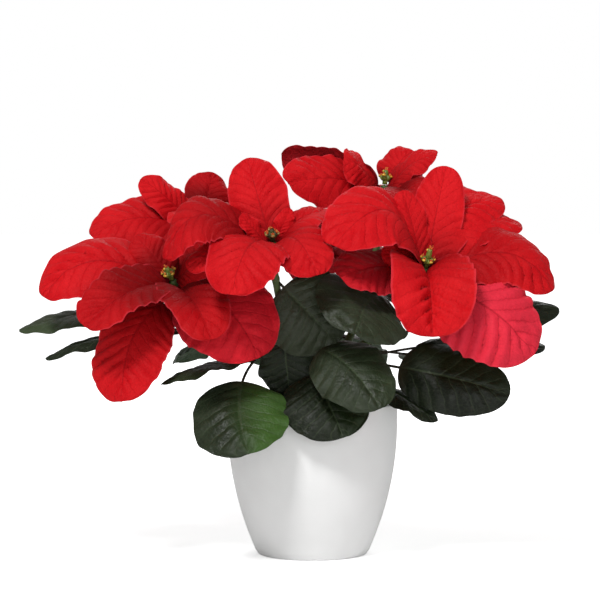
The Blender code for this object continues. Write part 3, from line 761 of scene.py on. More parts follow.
# %% [markdown]
# ## Starting and finishing a material
#
# A material is a tree of nodes that ends in a Principled shader. Written out, the same few
# nodes come again and again, so each gets a helper that makes the node, feeds it and gives
# its output back. A number that is the same all over is set on the shader's own socket.

# %% Starting and finishing a material
def new_material(name, specular):
    """A Principled material with its node tree and its shader."""
    material = bpy.data.materials.new(name)
    material.use_nodes = True
    shader = material.node_tree.nodes["Principled BSDF"]
    shader.inputs["Specular IOR Level"].default_value = specular
    return material, material.node_tree, shader


def feed(tree, value, socket):
    """Links an output to the socket, or sets the socket to a plain number or colour."""
    if isinstance(value, bpy.types.NodeSocket):
        tree.links.new(value, socket)
    elif isinstance(value, tuple) and len(value) == 3 and len(socket.default_value) == 4:
        socket.default_value = (*value, 1.0)
    else:
        socket.default_value = value


def dress(tree, shader, colour, roughness, normal):
    """Gives the shader its colour, its roughness and its normal."""
    feed(tree, colour, shader.inputs["Base Color"])
    feed(tree, roughness, shader.inputs["Roughness"])
    feed(tree, normal, shader.inputs["Normal"])


print("materials so far:", len(bpy.data.materials))

# %% [markdown]
# ## Places, numbers and colours in a material
#
# A pattern starts from a number that the mesh carries, or from a place. Sums shape it into
# a mask between 0 and 1, and the mask then mixes two colours.

# %% Places, numbers and colours in a material
def attribute(tree, name):
    """The number that each point of the mesh carries under this name."""
    node = tree.nodes.new("ShaderNodeAttribute")
    node.attribute_name = name
    return node.outputs["Fac"]


def object_place(tree):
    """Where a point lies in the plant, in metres."""
    return tree.nodes.new("ShaderNodeTexCoord").outputs["Object"]


def maths(tree, operation, *values):
    """A Math node with this operation on plain numbers or outputs."""
    node = tree.nodes.new("ShaderNodeMath")
    node.operation = operation
    for value, socket in zip(values, node.inputs):
        feed(tree, value, socket)
    return node.outputs[0]


def times(tree, first, second):
    """The product of two values."""
    return maths(tree, "MULTIPLY", first, second)


def span(tree, value, low, high, to_low=0.0, to_high=1.0):
    """Spreads low..high of a value smoothly over to_low..to_high."""
    node = tree.nodes.new("ShaderNodeMapRange")
    node.interpolation_type = "SMOOTHSTEP"
    labels = ("Value", "From Min", "From Max", "To Min", "To Max")
    for label, number in zip(labels, (value, low, high, to_low, to_high)):
        feed(tree, number, node.inputs[label])
    return node.outputs[0]


def blend(tree, share, first, second):
    """Mixes two colours by a share between 0 and 1."""
    node = tree.nodes.new("ShaderNodeMix")
    node.data_type = "RGBA"
    feed(tree, share, node.inputs["Factor"])
    feed(tree, first, node.inputs[6])
    feed(tree, second, node.inputs[7])
    return node.outputs[2]


def layered(tree, colour, layers):
    """Lays tones over a colour, each as far as its mask times its strength says."""
    for mask, strength, tone in layers:
        colour = blend(tree, times(tree, mask, strength), colour, tone)
    return colour


print("helpers for masks and colours are ready")

# %% [markdown]
# ## Noise, bump and node groups
#
# Noise makes a surface uneven, in tone or in height, and a Bump node turns a height into a
# normal. An effect that comes back is built once as a group, and each material places it.

# %% Noise, bump and node groups
def noise_of(tree, place, scale, detail=2.0):
    """Soft noise between 0 and 1, read at the place."""
    node = tree.nodes.new("ShaderNodeTexNoise")
    node.inputs["Scale"].default_value = scale
    node.inputs["Detail"].default_value = detail
    feed(tree, place, node.inputs["Vector"])
    return node.outputs["Fac"]


def bump(tree, height, strength, distance, under=None):
    """A normal that follows the height, on top of another normal where one is given."""
    node = tree.nodes.new("ShaderNodeBump")
    node.inputs["Strength"].default_value = strength
    node.inputs["Distance"].default_value = distance
    feed(tree, height, node.inputs["Height"])
    if under is not None:
        tree.links.new(under, node.inputs["Normal"])
    return node.outputs["Normal"]


def give_out(tree, results):
    """Gives a node group an output for each named result."""
    ends = tree.nodes.new("NodeGroupOutput")
    for label, value in results.items():
        kind = "NodeSocketVector" if value.type == "VECTOR" else "NodeSocketFloat"
        tree.interface.new_socket(label, in_out="OUTPUT", socket_type=kind)
        tree.links.new(value, ends.inputs[label])


def outputs_of(tree, group):
    """The outputs of a node group, placed in this tree."""
    node = tree.nodes.new("ShaderNodeGroup")
    node.node_tree = group
    return node.outputs


print("node groups so far:", len(bpy.data.node_groups))

# %% [markdown]
# ## The veins as node groups
#
# One function makes the veins of both kinds of blade, as a group of shader nodes for each
# kind, because their counts differ. A group reads the blade's own UV map, in which the
# midrib is the line U = 0.5. The side veins are the places where a count along the blade,
# drawn forward towards the edge, is a whole number: the same count that shaped the
# quilting. Between them a fine net of cells joins up.

# %% The veins as node groups
VEIN_WOBBLE = 0.35
WOBBLE_SCALE = 9.0
VEIN_FADE = 0.25
MIDRIB_WIDTH = (0.055, 0.018)
NET_SCALE = 26.0
NET_WIDTH = 0.09


def veins_group(kind, name):
    """Masks of a blade, each 0 to 1: midrib, side veins, fine net, rim, foot, tip, one half."""
    tree = bpy.data.node_groups.new(name, "ShaderNodeTree")
    uv = tree.nodes.new("ShaderNodeUVMap")
    uv.uv_map = "blade"
    uv = uv.outputs["UV"]
    split = tree.nodes.new("ShaderNodeSeparateXYZ")
    tree.links.new(uv, split.inputs[0])
    stretch = 1.0 / (1.0 - BLADE_START)
    v = maths(tree, "MULTIPLY_ADD", split.outputs["X"], 2.0, -1.0)
    share = maths(tree, "MULTIPLY_ADD", split.outputs["Y"], stretch, -BLADE_START * stretch)
    reach = maths(tree, "ABSOLUTE", v)

    curl = times(tree, maths(tree, "POWER", reach, 2.0), VEIN_CURL * kind.vein_lean)
    forward = maths(tree, "SUBTRACT", times(tree, reach, kind.vein_lean), curl)
    count = times(tree, maths(tree, "SUBTRACT", share, forward), kind.vein_count)
    stagger = times(tree, maths(tree, "GREATER_THAN", v, 0.0), VEIN_STAGGER)
    wobble = maths(tree, "SUBTRACT", noise_of(tree, uv, WOBBLE_SCALE, 1.0), 0.5)
    count = maths(tree, "ADD", count, stagger)
    count = maths(tree, "ADD", count, times(tree, wobble, VEIN_WOBBLE))
    wave = maths(tree, "ABSOLUTE", maths(tree, "SINE", times(tree, count, math.pi)))
    side = span(tree, wave, 0.0, 0.32, 1.0, 0.0)
    fade = span(tree, reach, 0.55, 1.0, 1.0, VEIN_FADE)
    rib = maths(tree, "DIVIDE", reach, span(tree, share, 0.0, 1.0, *MIDRIB_WIDTH))

    cells = tree.nodes.new("ShaderNodeTexVoronoi")
    cells.feature = "DISTANCE_TO_EDGE"
    cells.inputs["Scale"].default_value = NET_SCALE
    tree.links.new(uv, cells.inputs["Vector"])
    masks = {
        "Midrib": span(tree, rib, 0.35, 1.0, 1.0, 0.0),
        "Side": times(tree, side, fade),
        "Net": span(tree, cells.outputs["Distance"], 0.0, NET_WIDTH, 1.0, 0.0),
        "Rim": span(tree, reach, 0.93, 1.0),
        "Foot": span(tree, share, 0.0, 0.55, 1.0, 0.0),
        "Tip": span(tree, share, 0.3, 0.95),
        "Half": span(tree, v, -0.7, 0.4, 1.0, 0.0),
    }
    give_out(tree, masks)
    return tree


VEINS = {BRACT: veins_group(BRACT, "bract_veins"), LEAF: veins_group(LEAF, "leaf_veins")}
print("nodes in a group of veins:", len(VEINS[BRACT].nodes))

# %% [markdown]
# ## The skin as a node group
#
# The skin is the same on bracts and leaves, so it is one group that both materials use:
# soft clouds of tone, and a normal with small puckers and a finer grain. For each of these
# two a scale, a strength and a height in metres are given.

# %% The skin as a node group
CLOUD_SCALE = 40.0
PUCKERS = (240.0, 0.6, 0.0014)
GRAIN = (850.0, 0.18, 0.0002)


def skin_group(name):
    """What the skin of every blade has: a mask of soft clouds, and a normal with its grain."""
    tree = bpy.data.node_groups.new(name, "ShaderNodeTree")
    place = object_place(tree)
    clouds = span(tree, noise_of(tree, place, CLOUD_SCALE), 0.3, 0.7)
    normal = None
    for scale, strength, distance in (PUCKERS, GRAIN):
        normal = bump(tree, noise_of(tree, place, scale, 3.0), strength, distance, under=normal)
    give_out(tree, {"Clouds": clouds, "Normal": normal})
    return tree


SKIN = skin_group("blade_skin")
print("node groups:", [group.name for group in bpy.data.node_groups])

# %% [markdown]
# ## The red of the bracts
#
# A bract is a coloured leaf: soft and a little velvety. The veins lie sunken and darker,
# the midrib darker still towards its foot, the rim a touch pinker where the skin ends.
# Near the hub each blade is painted a deep wine red, partly its own deeper colour and
# partly painted shade. Old and young bracts of a head differ a little, which a number on
# each blade gives; for bracts that lie in shade that number is low, so they are painted
# wine red as painted shade, less towards the tip, where the light reaches. A pink bract,
# marked by a number of its own, shows its dark veins more strongly.

# %% The red of the bracts
BRACT_RED = (0.55, 0.004, 0.008)
# The deep wine red is partly the bracts' own colour and partly painted shade.
BRACT_DEEP_AND_SHADE = (0.17, 0.001, 0.002)
BRACT_BRIGHT = (0.63, 0.009, 0.013)
BRACT_PINK = (0.70, 0.026, 0.050)
BRACT_VEIN = (0.22, 0.001, 0.004)
BRACT_RIM = (0.66, 0.045, 0.065)
BRACT_UNDER = (0.45, 0.018, 0.026)
BRACT_FOOT = (0.16, 0.003, 0.008)
BRACT_ROUGHNESS = (0.52, 0.66)
BRACT_VEIN_DEPTH = 0.0008
VELVET = 0.008
VELVET_ROUGHNESS = 0.45
VELVET_TINT = (1.0, 0.45, 0.5)
VEIN_STRENGTH = (0.16, 0.6)
NET_DEPTH = 0.35


def sunken_veins(tree, veins, skin, strength, depth):
    """The skin's normal with the side veins and the finer net drawn into it."""
    net = times(tree, veins["Net"], -NET_DEPTH)
    low = maths(tree, "MULTIPLY_ADD", veins["Side"], -1.0, net)
    return bump(tree, low, strength, depth, under=skin["Normal"])


def bract_material():
    """Red velvet with sunken dark veins."""
    material, tree, shader = new_material("bract red", specular=0.08)
    veins = outputs_of(tree, VEINS[BRACT])
    skin = outputs_of(tree, SKIN)
    cloud = skin["Clouds"]
    pink = attribute(tree, "pink_and_glow")
    # Painted shade: a low tone mixes in the deep wine red, on bracts that lie in shade and a little on
    # old ones, less towards the tip, where the light reaches.
    deep_and_shade = span(tree, attribute(tree, "tint_and_shade"), -2.0, 1.0, 0.95, 0.0)
    deep_and_shade = times(tree, deep_and_shade, span(tree, veins["Tip"], 0.0, 1.0, 1.0, 0.4))
    strong = span(tree, pink, 0.0, 1.0, *VEIN_STRENGTH)
    strong = times(tree, strong, span(tree, veins["Foot"], 0.0, 0.6, 0.35, 1.0))
    colour = blend(tree, cloud, BRACT_RED, BRACT_BRIGHT)
    colour = blend(tree, deep_and_shade, colour, BRACT_DEEP_AND_SHADE)
    layers = (
        # Painted shade near the hub, partly the bract's own deeper colour: each blade is darkened towards
        # its foot.
        (veins["Foot"], 0.6, BRACT_DEEP_AND_SHADE),
        (pink, 1.0, BRACT_PINK),
        (veins["Net"], 0.07, BRACT_VEIN),
        (veins["Side"], strong, BRACT_VEIN),
        (veins["Midrib"], 0.4, BRACT_VEIN),
        (attribute(tree, "under"), 0.6, BRACT_UNDER),
        (veins["Rim"], 0.45, BRACT_RIM),
        (attribute(tree, "stalky"), 0.8, BRACT_FOOT),
    )
    normal = sunken_veins(tree, veins, skin, 0.5, BRACT_VEIN_DEPTH)
    rough = span(tree, cloud, 0.0, 1.0, *BRACT_ROUGHNESS)
    dress(tree, shader, layered(tree, colour, layers), rough, normal)
    feed(tree, VELVET, shader.inputs["Sheen Weight"])
    feed(tree, VELVET_ROUGHNESS, shader.inputs["Sheen Roughness"])
    feed(tree, VELVET_TINT, shader.inputs["Sheen Tint"])
    return material


RED = bract_material()
print("nodes in the bract material:", len(RED.node_tree.nodes))

# %% [markdown]
# ## The green of the leaves
#
# Leaves below the heads are a very deep green with a low gloss and paler veins. Some are
# darkened nearly to black as painted shade, where the heads shade them, and some are
# paler; a number on each leaf gives both. Their under side is lighter and duller, and
# their stalks are brownish. In one half of a few leaves, most of all one at the left
# front, a clearer, yellower green is painted as painted glow of light shining through.

# %% The green of the leaves
LEAF_GREEN = (0.009, 0.015, 0.006)
LEAF_SOFT = (0.019, 0.029, 0.013)
LEAF_PALE = (0.040, 0.046, 0.028)
# Near black green: a darker tone and painted shade.
LEAF_DARK_AND_SHADE = (0.004, 0.006, 0.002)
# Clear yellow green: painted glow of light shining through a leaf.
LEAF_GLOW_GREEN = (0.050, 0.115, 0.020)
LEAF_VEIN = (0.050, 0.070, 0.034)
LEAF_UNDER = (0.050, 0.082, 0.042)
LEAF_STALK = (0.030, 0.024, 0.012)
LEAF_ROUGHNESS = (0.36, 0.52)
LEAF_VEIN_DEPTH = 0.0005


def leaf_material():
    """Deep green with a low gloss and paler veins."""
    material, tree, shader = new_material("leaf green", specular=0.22)
    veins = outputs_of(tree, VEINS[LEAF])
    skin = outputs_of(tree, SKIN)
    cloud = skin["Clouds"]
    tint_and_shade = attribute(tree, "tint_and_shade")
    colour = blend(tree, cloud, LEAF_GREEN, LEAF_SOFT)
    # Painted shade: leaves with a low tone are darkened towards near black, as under the heads.
    colour = blend(tree, span(tree, tint_and_shade, -1.0, 0.2, 0.85, 0.0), colour, LEAF_DARK_AND_SHADE)
    colour = blend(tree, span(tree, tint_and_shade, 0.0, 1.0, 0.0, 0.7), colour, LEAF_PALE)
    layers = (
        # Painted glow: one half of a leaf is painted a clearer green, for light shining through it.
        (attribute(tree, "pink_and_glow"), veins["Half"], LEAF_GLOW_GREEN),
        (veins["Net"], 0.18, LEAF_VEIN),
        (veins["Side"], 0.35, LEAF_VEIN),
        (veins["Midrib"], 0.6, LEAF_VEIN),
        (attribute(tree, "under"), 0.7, LEAF_UNDER),
        (attribute(tree, "stalky"), 1.0, LEAF_STALK),
    )
    normal = sunken_veins(tree, veins, skin, 0.45, LEAF_VEIN_DEPTH)
    rough = span(tree, cloud, 0.0, 1.0, *LEAF_ROUGHNESS)
    dress(tree, shader, layered(tree, colour, layers), rough, normal)
    return material


GREEN = leaf_material()
print("nodes in the leaf material:", len(GREEN.node_tree.nodes))

# %% [markdown]
# ## Bracts and leaves, head by head
#
# The oldest bracts at the foot of a hub are the largest and the deepest in colour; young
# ones near the flowers are lighter. A few blades differ from that rule, so they are listed
# by head and by their place in the plan: bracts that lie in shade are painted deeper as
# painted shade, one at the right is pink, and some are pleated more strongly. One leaf at
# the left front has one half painted a clearer green as painted glow of light shining
# through it, a few leaves are painted darker than their neighbours as painted shade, and
# a few are paler.

# %% Bracts and leaves, head by head
PINK_BRACTS = {"left": {1: 0.3}, "right": {0: 1.0, 1: 0.2}}
# Bracts that lie in shade, with the low tone that paints their shade.
PAINTED_SHADE_BRACTS = {
    "left": {4: -1.6, 5: -1.8, 6: -0.9, 7: -1.5},
    "centre": {4: -0.9},
    "right": {1: -1.4, 2: -1.6, 4: -0.3},
    "back_right": {1: -1.9, 6: -1.6, 9: -1.8},
    "back_left": {7: -1.9},
}
PLEATED_BRACTS = {
    "left": {0: 1.3, 3: 1.5, 5: 1.3},
    "centre": {0: 1.3},
    "right": {0: 1.3, 3: 2.2, 4: 1.8, 5: 1.5},
}
# Leaves with a painted glow of light shining through one half.
GLOWING_LEAVES = {"left": {0: 0.2, 3: 0.8}, "centre": {0: 0.12}}
# Low numbers are painted shade for leaves under the heads, high ones a paler tone.
LEAF_SHADE_AND_TONE = {
    "left": {0: 1.0, 1: -0.6, 3: 0.3},
    "centre": {0: -0.7, 1: 0.4, 2: 0.9, 3: -0.6},
    "right": {0: -0.8, 1: -0.8, 4: 0.6},
}
BRACT_TURN = 2.1
LEAF_TURN = 1.7


def listed(table, name, index, usual):
    """What the table says of this blade of this head, or else the usual value."""
    return table.get(name, {}).get(index, usual)


for name, head in HEADS.items():
    bracts = []
    for index, bract in enumerate(head.bracts):
        youth = index / (len(head.bracts) - 1)
        tint_and_shade = -0.2 + 0.9 * youth + random.uniform(-0.3, 0.3)
        # Bracts in shade get a low tone, which the material paints as shade.
        tint_and_shade = listed(PAINTED_SHADE_BRACTS, name, index, tint_and_shade)
        pink = listed(PINK_BRACTS, name, index, 0.0)
        pleats = listed(PLEATED_BRACTS, name, index, 1.0)
        bracts.append((bract, hub_seat(head, index), BRACT_TURN * index, tint_and_shade, pink, pleats))
    piece = blades_piece("rosette_" + name, BRACT, bracts)
    ready(piece, ["bracts_" + name], "bract_red", RED)
    leaves = []
    for index, leaf in enumerate(head.leaves):
        # Painted glow of light through one half of the listed leaves; a little at random on the rest.
        pink_and_glow = listed(GLOWING_LEAVES, name, index, random.uniform(0.0, 0.08))
        # A low tone darkens a leaf as painted shade where it lies under the heads.
        tint_and_shade = listed(LEAF_SHADE_AND_TONE, name, index, random.uniform(-0.7, 0.5))
        leaves.append((leaf, leaf_seat(head, leaf), LEAF_TURN * index, tint_and_shade, pink_and_glow, 1.0))
    piece = blades_piece("foliage_" + name, LEAF, leaves)
    ready(piece, ["shoot_" + name], "leaf_green", GREEN)

rosettes = [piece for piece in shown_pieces() if piece.name.startswith("rosette")]
print("points in the rosettes:", sum(len(piece.data.vertices) for piece in rosettes))

# %% [markdown]
# ## A tube along a curve
#
# Stems, cups and stamens are all round tubes. A tube can be made as a row of circles along
# its curve, joined ring to ring with the bridge operator, and closed at both ends.

# %% A tube along a curve
STEM_SIDES = 20
LEAST_END = 0.12


def ring_edges(ring):
    """The edges that join the points of one ring."""
    members = set(ring)
    edges = {edge for vert in ring for edge in vert.link_edges if edge.other_vert(vert) in members}
    return list(edges)


def add_tube(bm, points, along, radii, sides):
    """A closed tube through the points, square to the direction at each."""
    rings = []
    for point, direction, radius in zip(points, along, radii):
        turn = Vector(direction).to_track_quat("Z", "Y").to_matrix().to_4x4()
        place = Matrix.Translation(point) @ turn
        made = bmesh.ops.create_circle(bm, segments=sides, radius=radius, matrix=place)
        rings.append(made["verts"])
    faces = []
    for ring, following in zip(rings, rings[1:]):
        made = bmesh.ops.bridge_loops(bm, edges=ring_edges(ring) + ring_edges(following))
        faces += made["faces"]
    for ring in (rings[0], rings[-1]):
        made = bmesh.ops.contextual_create(bm, geom=ring_edges(ring))
        faces += made["faces"]
    bmesh.ops.recalc_face_normals(bm, faces=faces)
    for face in faces:
        face.smooth = True
    return faces


def rounded_ends(shares, reach):
    """Draws both ends of a tube in: 1 along it, and less within reach of an end."""
    ends = np.minimum(shares / reach, (1 - shares) / reach).clip(0.0, 1.0)
    return np.sqrt(1 - (1 - ends) ** 2).clip(LEAST_END, 1.0)


print("a stem has", STEM_SIDES, "sides")

# %% [markdown]
# ## The skin of the stems
#
# Young shoots are green, with small pale pores. Towards the main stem they turn to bark,
# so the colour follows the height, which the Object coordinates give in metres.

# %% The skin of the stems
SHOOT_SKIN = ((0.05, 0.085, 0.02), (0.085, 0.12, 0.035))
BARK = ((0.09, 0.06, 0.03), (0.17, 0.13, 0.07))
PORE = (0.26, 0.22, 0.12)
PORE_SCALE = 330.0
WOODY_HEIGHTS = (0.150, 0.205)


def stem_material():
    """Green skin that turns brown and corky towards the main stem, with pale pores."""
    material, tree, shader = new_material("shoot green", specular=0.35)
    place = object_place(tree)
    split = tree.nodes.new("ShaderNodeSeparateXYZ")
    tree.links.new(place, split.inputs[0])
    pores = tree.nodes.new("ShaderNodeTexVoronoi")
    pores.inputs["Scale"].default_value = PORE_SCALE
    tree.links.new(place, pores.inputs["Vector"])
    woody = span(tree, split.outputs["Z"], *WOODY_HEIGHTS, 1.0, 0.0)
    patch = span(tree, noise_of(tree, place, 160.0, 3.0), 0.35, 0.7)
    colour = blend(tree, patch, *SHOOT_SKIN)
    colour = blend(tree, woody, colour, blend(tree, patch, *BARK))
    spot = span(tree, pores.outputs["Distance"], 0.1, 0.28, 0.5, 0.0)
    colour = blend(tree, spot, colour, PORE)
    dress(tree, shader, colour, 0.5, bump(tree, patch, 0.4, 0.0004))
    return material


STEM = stem_material()
print("nodes in the stem material:", len(STEM.node_tree.nodes))

# %% [markdown]
# ## Shoots and hubs
#
# A shoot is a smooth tube, a little thicker where a leaf sits. The hub under the bracts is
# the same stem going on, as a short tube with rounded ends.

# %% Shoots and hubs
SHOOT_RADIUS = (3.8, 3.1)
STEM_RINGS = 46
NODE_SWELL = 0.22
NODE_REACH = 0.018
HUB_CORE = 0.9
HUB_RINGS = 12
HUB_ROUNDING = 0.06

for name, head in HEADS.items():
    handles = shoot_handles(head)
    shares = np.linspace(0.0, 1.0, STEM_RINGS)
    points, along = bezier(handles, even_steps(handles, shares))
    radii = np.linspace(*SHOOT_RADIUS, STEM_RINGS)
    for leaf in head.leaves:
        radii = radii * (1 + NODE_SWELL * np.exp(-(((shares - leaf.seat) / NODE_REACH) ** 2)))
    bm = bmesh.new()
    add_tube(bm, points, along, radii, STEM_SIDES)
    ready(object_from(bm, "stem_" + name), ["shoot_" + name], "stem_bark", STEM)
    axis = unit(head.axis)
    shares = np.linspace(0.0, 1.0, HUB_RINGS)
    points = np.asarray(head.hub) - axis * HUB_LENGTH * (1 - shares)[:, None]
    radii = HUB_RADIUS * HUB_CORE * rounded_ends(shares, HUB_ROUNDING)
    bm = bmesh.new()
    add_tube(bm, points, [axis] * HUB_RINGS, radii, STEM_SIDES)
    ready(object_from(bm, "hub_" + name), ["bracts_" + name], "stem_bark", STEM)
print("a shoot is", [2 * radius for radius in SHOOT_RADIUS], "mm thick at its two ends")

# %% [markdown]
# ## The main stem
#
# The main stem is old wood with a rough skin. It keeps the solid's form, with more sides,
# and a collar where each shoot leaves it. Noise moves its points in and out a little.

# %% The main stem
TRUNK_RADIUS = 7.0
TRUNK_TAPER = 0.8
TRUNK_FOOT = 60.0
TRUNK_RINGS = 40
TRUNK_SIDES = 28
TOP_ROUNDING = 5.0
TOP_LEAST = 0.96
SOIL_TOP = 125.0
COLLAR_RADIUS = 4.0
COLLAR_FLARE = 0.18
COLLAR_RINGS = 14
BARK_ROUGH = 0.35
BARK_SCALE = 0.45
BARK_LAYER = 5.0


def roughen(bm, height, scale, layer):
    """Moves points in and out along their normals by noise of this height in millimetres."""
    bm.normal_update()
    for vert in bm.verts:
        place = vert.co * scale + Vector((layer, 0.0, 0.0))
        vert.co += vert.normal * height * noise.noise(place)


bm = bmesh.new()
heights = np.linspace(TRUNK_FOOT, TRUNK_TOP, TRUNK_RINGS)
neck = TRUNK_RADIUS - TRUNK_TAPER
radii = np.interp(heights, (SOIL_TOP, TRUNK_TOP), (TRUNK_RADIUS, neck))
into_top = (heights - TRUNK_TOP + TOP_ROUNDING) / TOP_ROUNDING
radii = radii * np.sqrt(1 - np.clip(into_top, 0.0, TOP_LEAST) ** 2)
add_tube(bm, [(0, 0, z) for z in heights], [UP] * TRUNK_RINGS, radii, TRUNK_SIDES)
for head in HEADS.values():
    end, direction = shoot_start(head)
    shares = np.linspace(0.0, 1.0, COLLAR_RINGS)
    points = end - direction * COLLAR_REACH * (1 - shares)[:, None]
    radii = COLLAR_RADIUS * (1.0 + COLLAR_FLARE * (1 - shares))
    add_tube(bm, points, [direction] * COLLAR_RINGS, radii, STEM_SIDES)
roughen(bm, BARK_ROUGH, BARK_SCALE, BARK_LAYER)
piece = ready(object_from(bm, "main_stem"), ["trunk"], "stem_bark", STEM)
print("faces in the main stem:", len(piece.data.polygons))

# %% [markdown]
# ## Colours of the flowers
#
# A cyathium is a small green cup. Tiny flowers stand in it, so its mouth is a tuft of red
# and yellow, and at its side sits one fleshy yellow gland shaped like a lip. Each cup can
# be drawn as a row of rings, as a stem is, and the gland is a squashed ball. The flowers of
# an old head are past their best, so their cups and glands are dry and brownish.

# %% Colours of the flowers
OLD_HEADS = ("centre",)


def flower_material(name, first, second, scale, roughness):
    """Two tones in small patches, with the patches slightly raised."""
    material, tree, shader = new_material(name, specular=0.45)
    patch = span(tree, noise_of(tree, object_place(tree), scale), 0.35, 0.65)
    dress(tree, shader, blend(tree, patch, first, second), roughness, bump(tree, patch, 0.3, 0.0002))
    return material


CUP = flower_material("cyathium green", (0.10, 0.16, 0.025), (0.24, 0.28, 0.05), 260.0, 0.42)
GLAND = flower_material("gland yellow", (0.55, 0.28, 0.03), (0.75, 0.48, 0.06), 420.0, 0.25)
STAMEN = flower_material("stamen red", (0.50, 0.03, 0.015), (0.80, 0.25, 0.03), 700.0, 0.5)
OLD_CUP = flower_material("cyathium dry", (0.025, 0.035, 0.010), (0.08, 0.09, 0.025), 260.0, 0.55)
OLD_GLAND = flower_material("gland dry", (0.16, 0.08, 0.02), (0.34, 0.20, 0.05), 420.0, 0.5)
print("heads with dry flowers:", OLD_HEADS)

# %% [markdown]
# ## One true flower
#
# One cup with its gland and its stamens is made in one step, so that a head can repeat it.
# The radii of the cup are listed from its foot to its mouth and back down inside.

# %% One true flower
CUP_RADIUS = 2.6
CUP_SHARES = (0.0, 0.15, 0.3, 0.5, 0.65, 0.8, 0.92, 1.0, 0.97, 0.85)
CUP_SIZES = (0.42, 0.6, 0.8, 0.98, 1.0, 0.92, 0.8, 0.66, 0.5, 0.42)
CUP_SIDES = 18
GLAND_PLACE = (0.88, 0.85)
GLAND_SIZE = (1.9, 1.25, 1.2)
STAMENS = 7
STAMEN_RADIUS = 0.28
STAMEN_SIDES = 6
STAMEN_FOOT = 0.8
ANTHER_SIZE = (0.5, 0.4, 0.4)
GLAND_INDEX = 1
STAMEN_INDEX = 2


def add_ball(bm, place, axes, size, index):
    """A small ball squashed to size along its own axes, in the material of that index."""
    turn = Matrix([list(column) for column in zip(*axes)]).to_4x4()
    matrix = Matrix.Translation(place) @ turn @ Matrix.Diagonal((*size, 1.0))
    made = bmesh.ops.create_uvsphere(bm, u_segments=12, v_segments=8, radius=1.0, matrix=matrix)
    for face in {face for vert in made["verts"] for face in vert.link_faces}:
        face.smooth = True
        face.material_index = index


def add_stamen(bm, start, way, length, axes):
    """A thread with a grain of an anther at its end."""
    end = start + way * length
    points = [start, start + way * length * 0.6, end]
    for face in add_tube(bm, points, [way] * 3, [STAMEN_RADIUS] * 3, STAMEN_SIDES):
        face.material_index = STAMEN_INDEX
    add_ball(bm, end, axes, ANTHER_SIZE, STAMEN_INDEX)


def add_cup(bm, root, direction, out, sideways, reach):
    """One cyathium: the cup, its gland on the outer side, and its stamens."""
    steps = [root + direction * reach * share for share in CUP_SHARES]
    radii = [CUP_RADIUS * size for size in CUP_SIZES]
    add_tube(bm, steps, [direction] * len(steps), radii, CUP_SIDES)
    outward = np.cross(sideways, direction)
    axes = (sideways, outward, direction)
    up, aside = GLAND_PLACE
    lip = root + direction * reach * up + out * CUP_RADIUS * aside
    add_ball(bm, lip, axes, GLAND_SIZE, GLAND_INDEX)
    for stamen in range(STAMENS):
        turn = 2 * math.pi * (stamen + random.random()) / STAMENS
        lean = sideways * math.cos(turn) + outward * math.sin(turn)
        way = unit(direction + lean * random.uniform(0.2, 0.45))
        length = reach * random.uniform(0.3, 0.5)
        add_stamen(bm, root + direction * reach * STAMEN_FOOT, way, length, axes)


print("a cup is", 2 * CUP_RADIUS, "mm wide and holds", STAMENS, "stamens")

# %% [markdown]
# ## The flowers of each head
#
# The bunch stands on a short stalk. One cup is in the middle and a little longer, and the
# others form a ring round it that leans outwards.

# %% The flowers of each head
FLOWER_STALK = (2.4, 2.2)
FLOWER_STALK_LENGTH = 6.0
CUP_LENGTH = 6.5
CUP_LEAN = 0.75
CUP_ROOT_DEPTH = 3.0
MIDDLE_CUP_RISE = 1.0
EVERY_OTHER_CUP_EXTRA = 1.2

for name, head in HEADS.items():
    axis = unit(head.axis)
    foot = np.asarray(head.hub, float) + axis * GAP
    across = unit(np.cross(axis, (0.3, 0.9, 0.1)))
    other = np.cross(axis, across)
    bm = bmesh.new()
    add_tube(bm, [foot, foot + axis * FLOWER_STALK_LENGTH], [axis] * 2, FLOWER_STALK, CUP_SIDES)
    for index in range(head.cups):
        middle = index == 0
        angle = 2 * math.pi * index / (head.cups - 1)
        out = across * math.cos(angle) + other * math.sin(angle)
        direction = axis if middle else unit(axis + out * CUP_LEAN)
        sideways = unit(np.cross(direction, across if middle else out))
        root = foot + axis * (FLOWER_STALK_LENGTH - CUP_ROOT_DEPTH + MIDDLE_CUP_RISE * middle)
        reach = CUP_LENGTH + (head.bud if middle else EVERY_OTHER_CUP_EXTRA * (index % 2))
        add_cup(bm, root, direction, out, sideways, reach)
    cup, gland = (OLD_CUP, OLD_GLAND) if name in OLD_HEADS else (CUP, GLAND)
    piece = object_from(bm, "flowers_" + name)
    ready(piece, ["cyathia_" + name], "cyathium_green", cup, gland, STAMEN)
print("faces in one bunch of flowers:", len(piece.data.polygons))

# %% [markdown]
# ## Turning a profile
#
# The pot is a white cover pot. Such a pot is turned or pressed as one piece: its side
# bellies out and ends in a lip with rounded corners. Turning one profile round the axis
# makes it, as a potter's rib would. The roundings at lip and foot are arcs in the profile.

# %% Turning a profile
def turned(profile, sides):
    """A bmesh of the profile of (radius, height) points, turned about Z."""
    bm = bmesh.new()
    verts = [bm.verts.new((radius, 0.0, height)) for radius, height in profile]
    edges = [bm.edges.new(pair) for pair in zip(verts, verts[1:])]
    turn = {"axis": (0, 0, 1), "cent": (0, 0, 0), "angle": 2 * math.pi}
    bmesh.ops.spin(bm, geom=verts + edges, steps=sides, use_merge=True, **turn)
    bmesh.ops.remove_doubles(bm, verts=bm.verts, dist=0.01)
    bmesh.ops.recalc_face_normals(bm, faces=bm.faces)
    for face in bm.faces:
        face.smooth = True
    return bm


def arc(centre, radius, start, end, steps):
    """Points of an arc in the profile, its angles in degrees."""
    angles = np.radians(np.linspace(start, end, steps))
    return [(centre[0] + radius * math.cos(a), centre[1] + radius * math.sin(a)) for a in angles]


print("an arc from 0 to 90 degrees ends at height", round(arc((0, 0), 2.0, 0, 90, 3)[-1][1], 3))

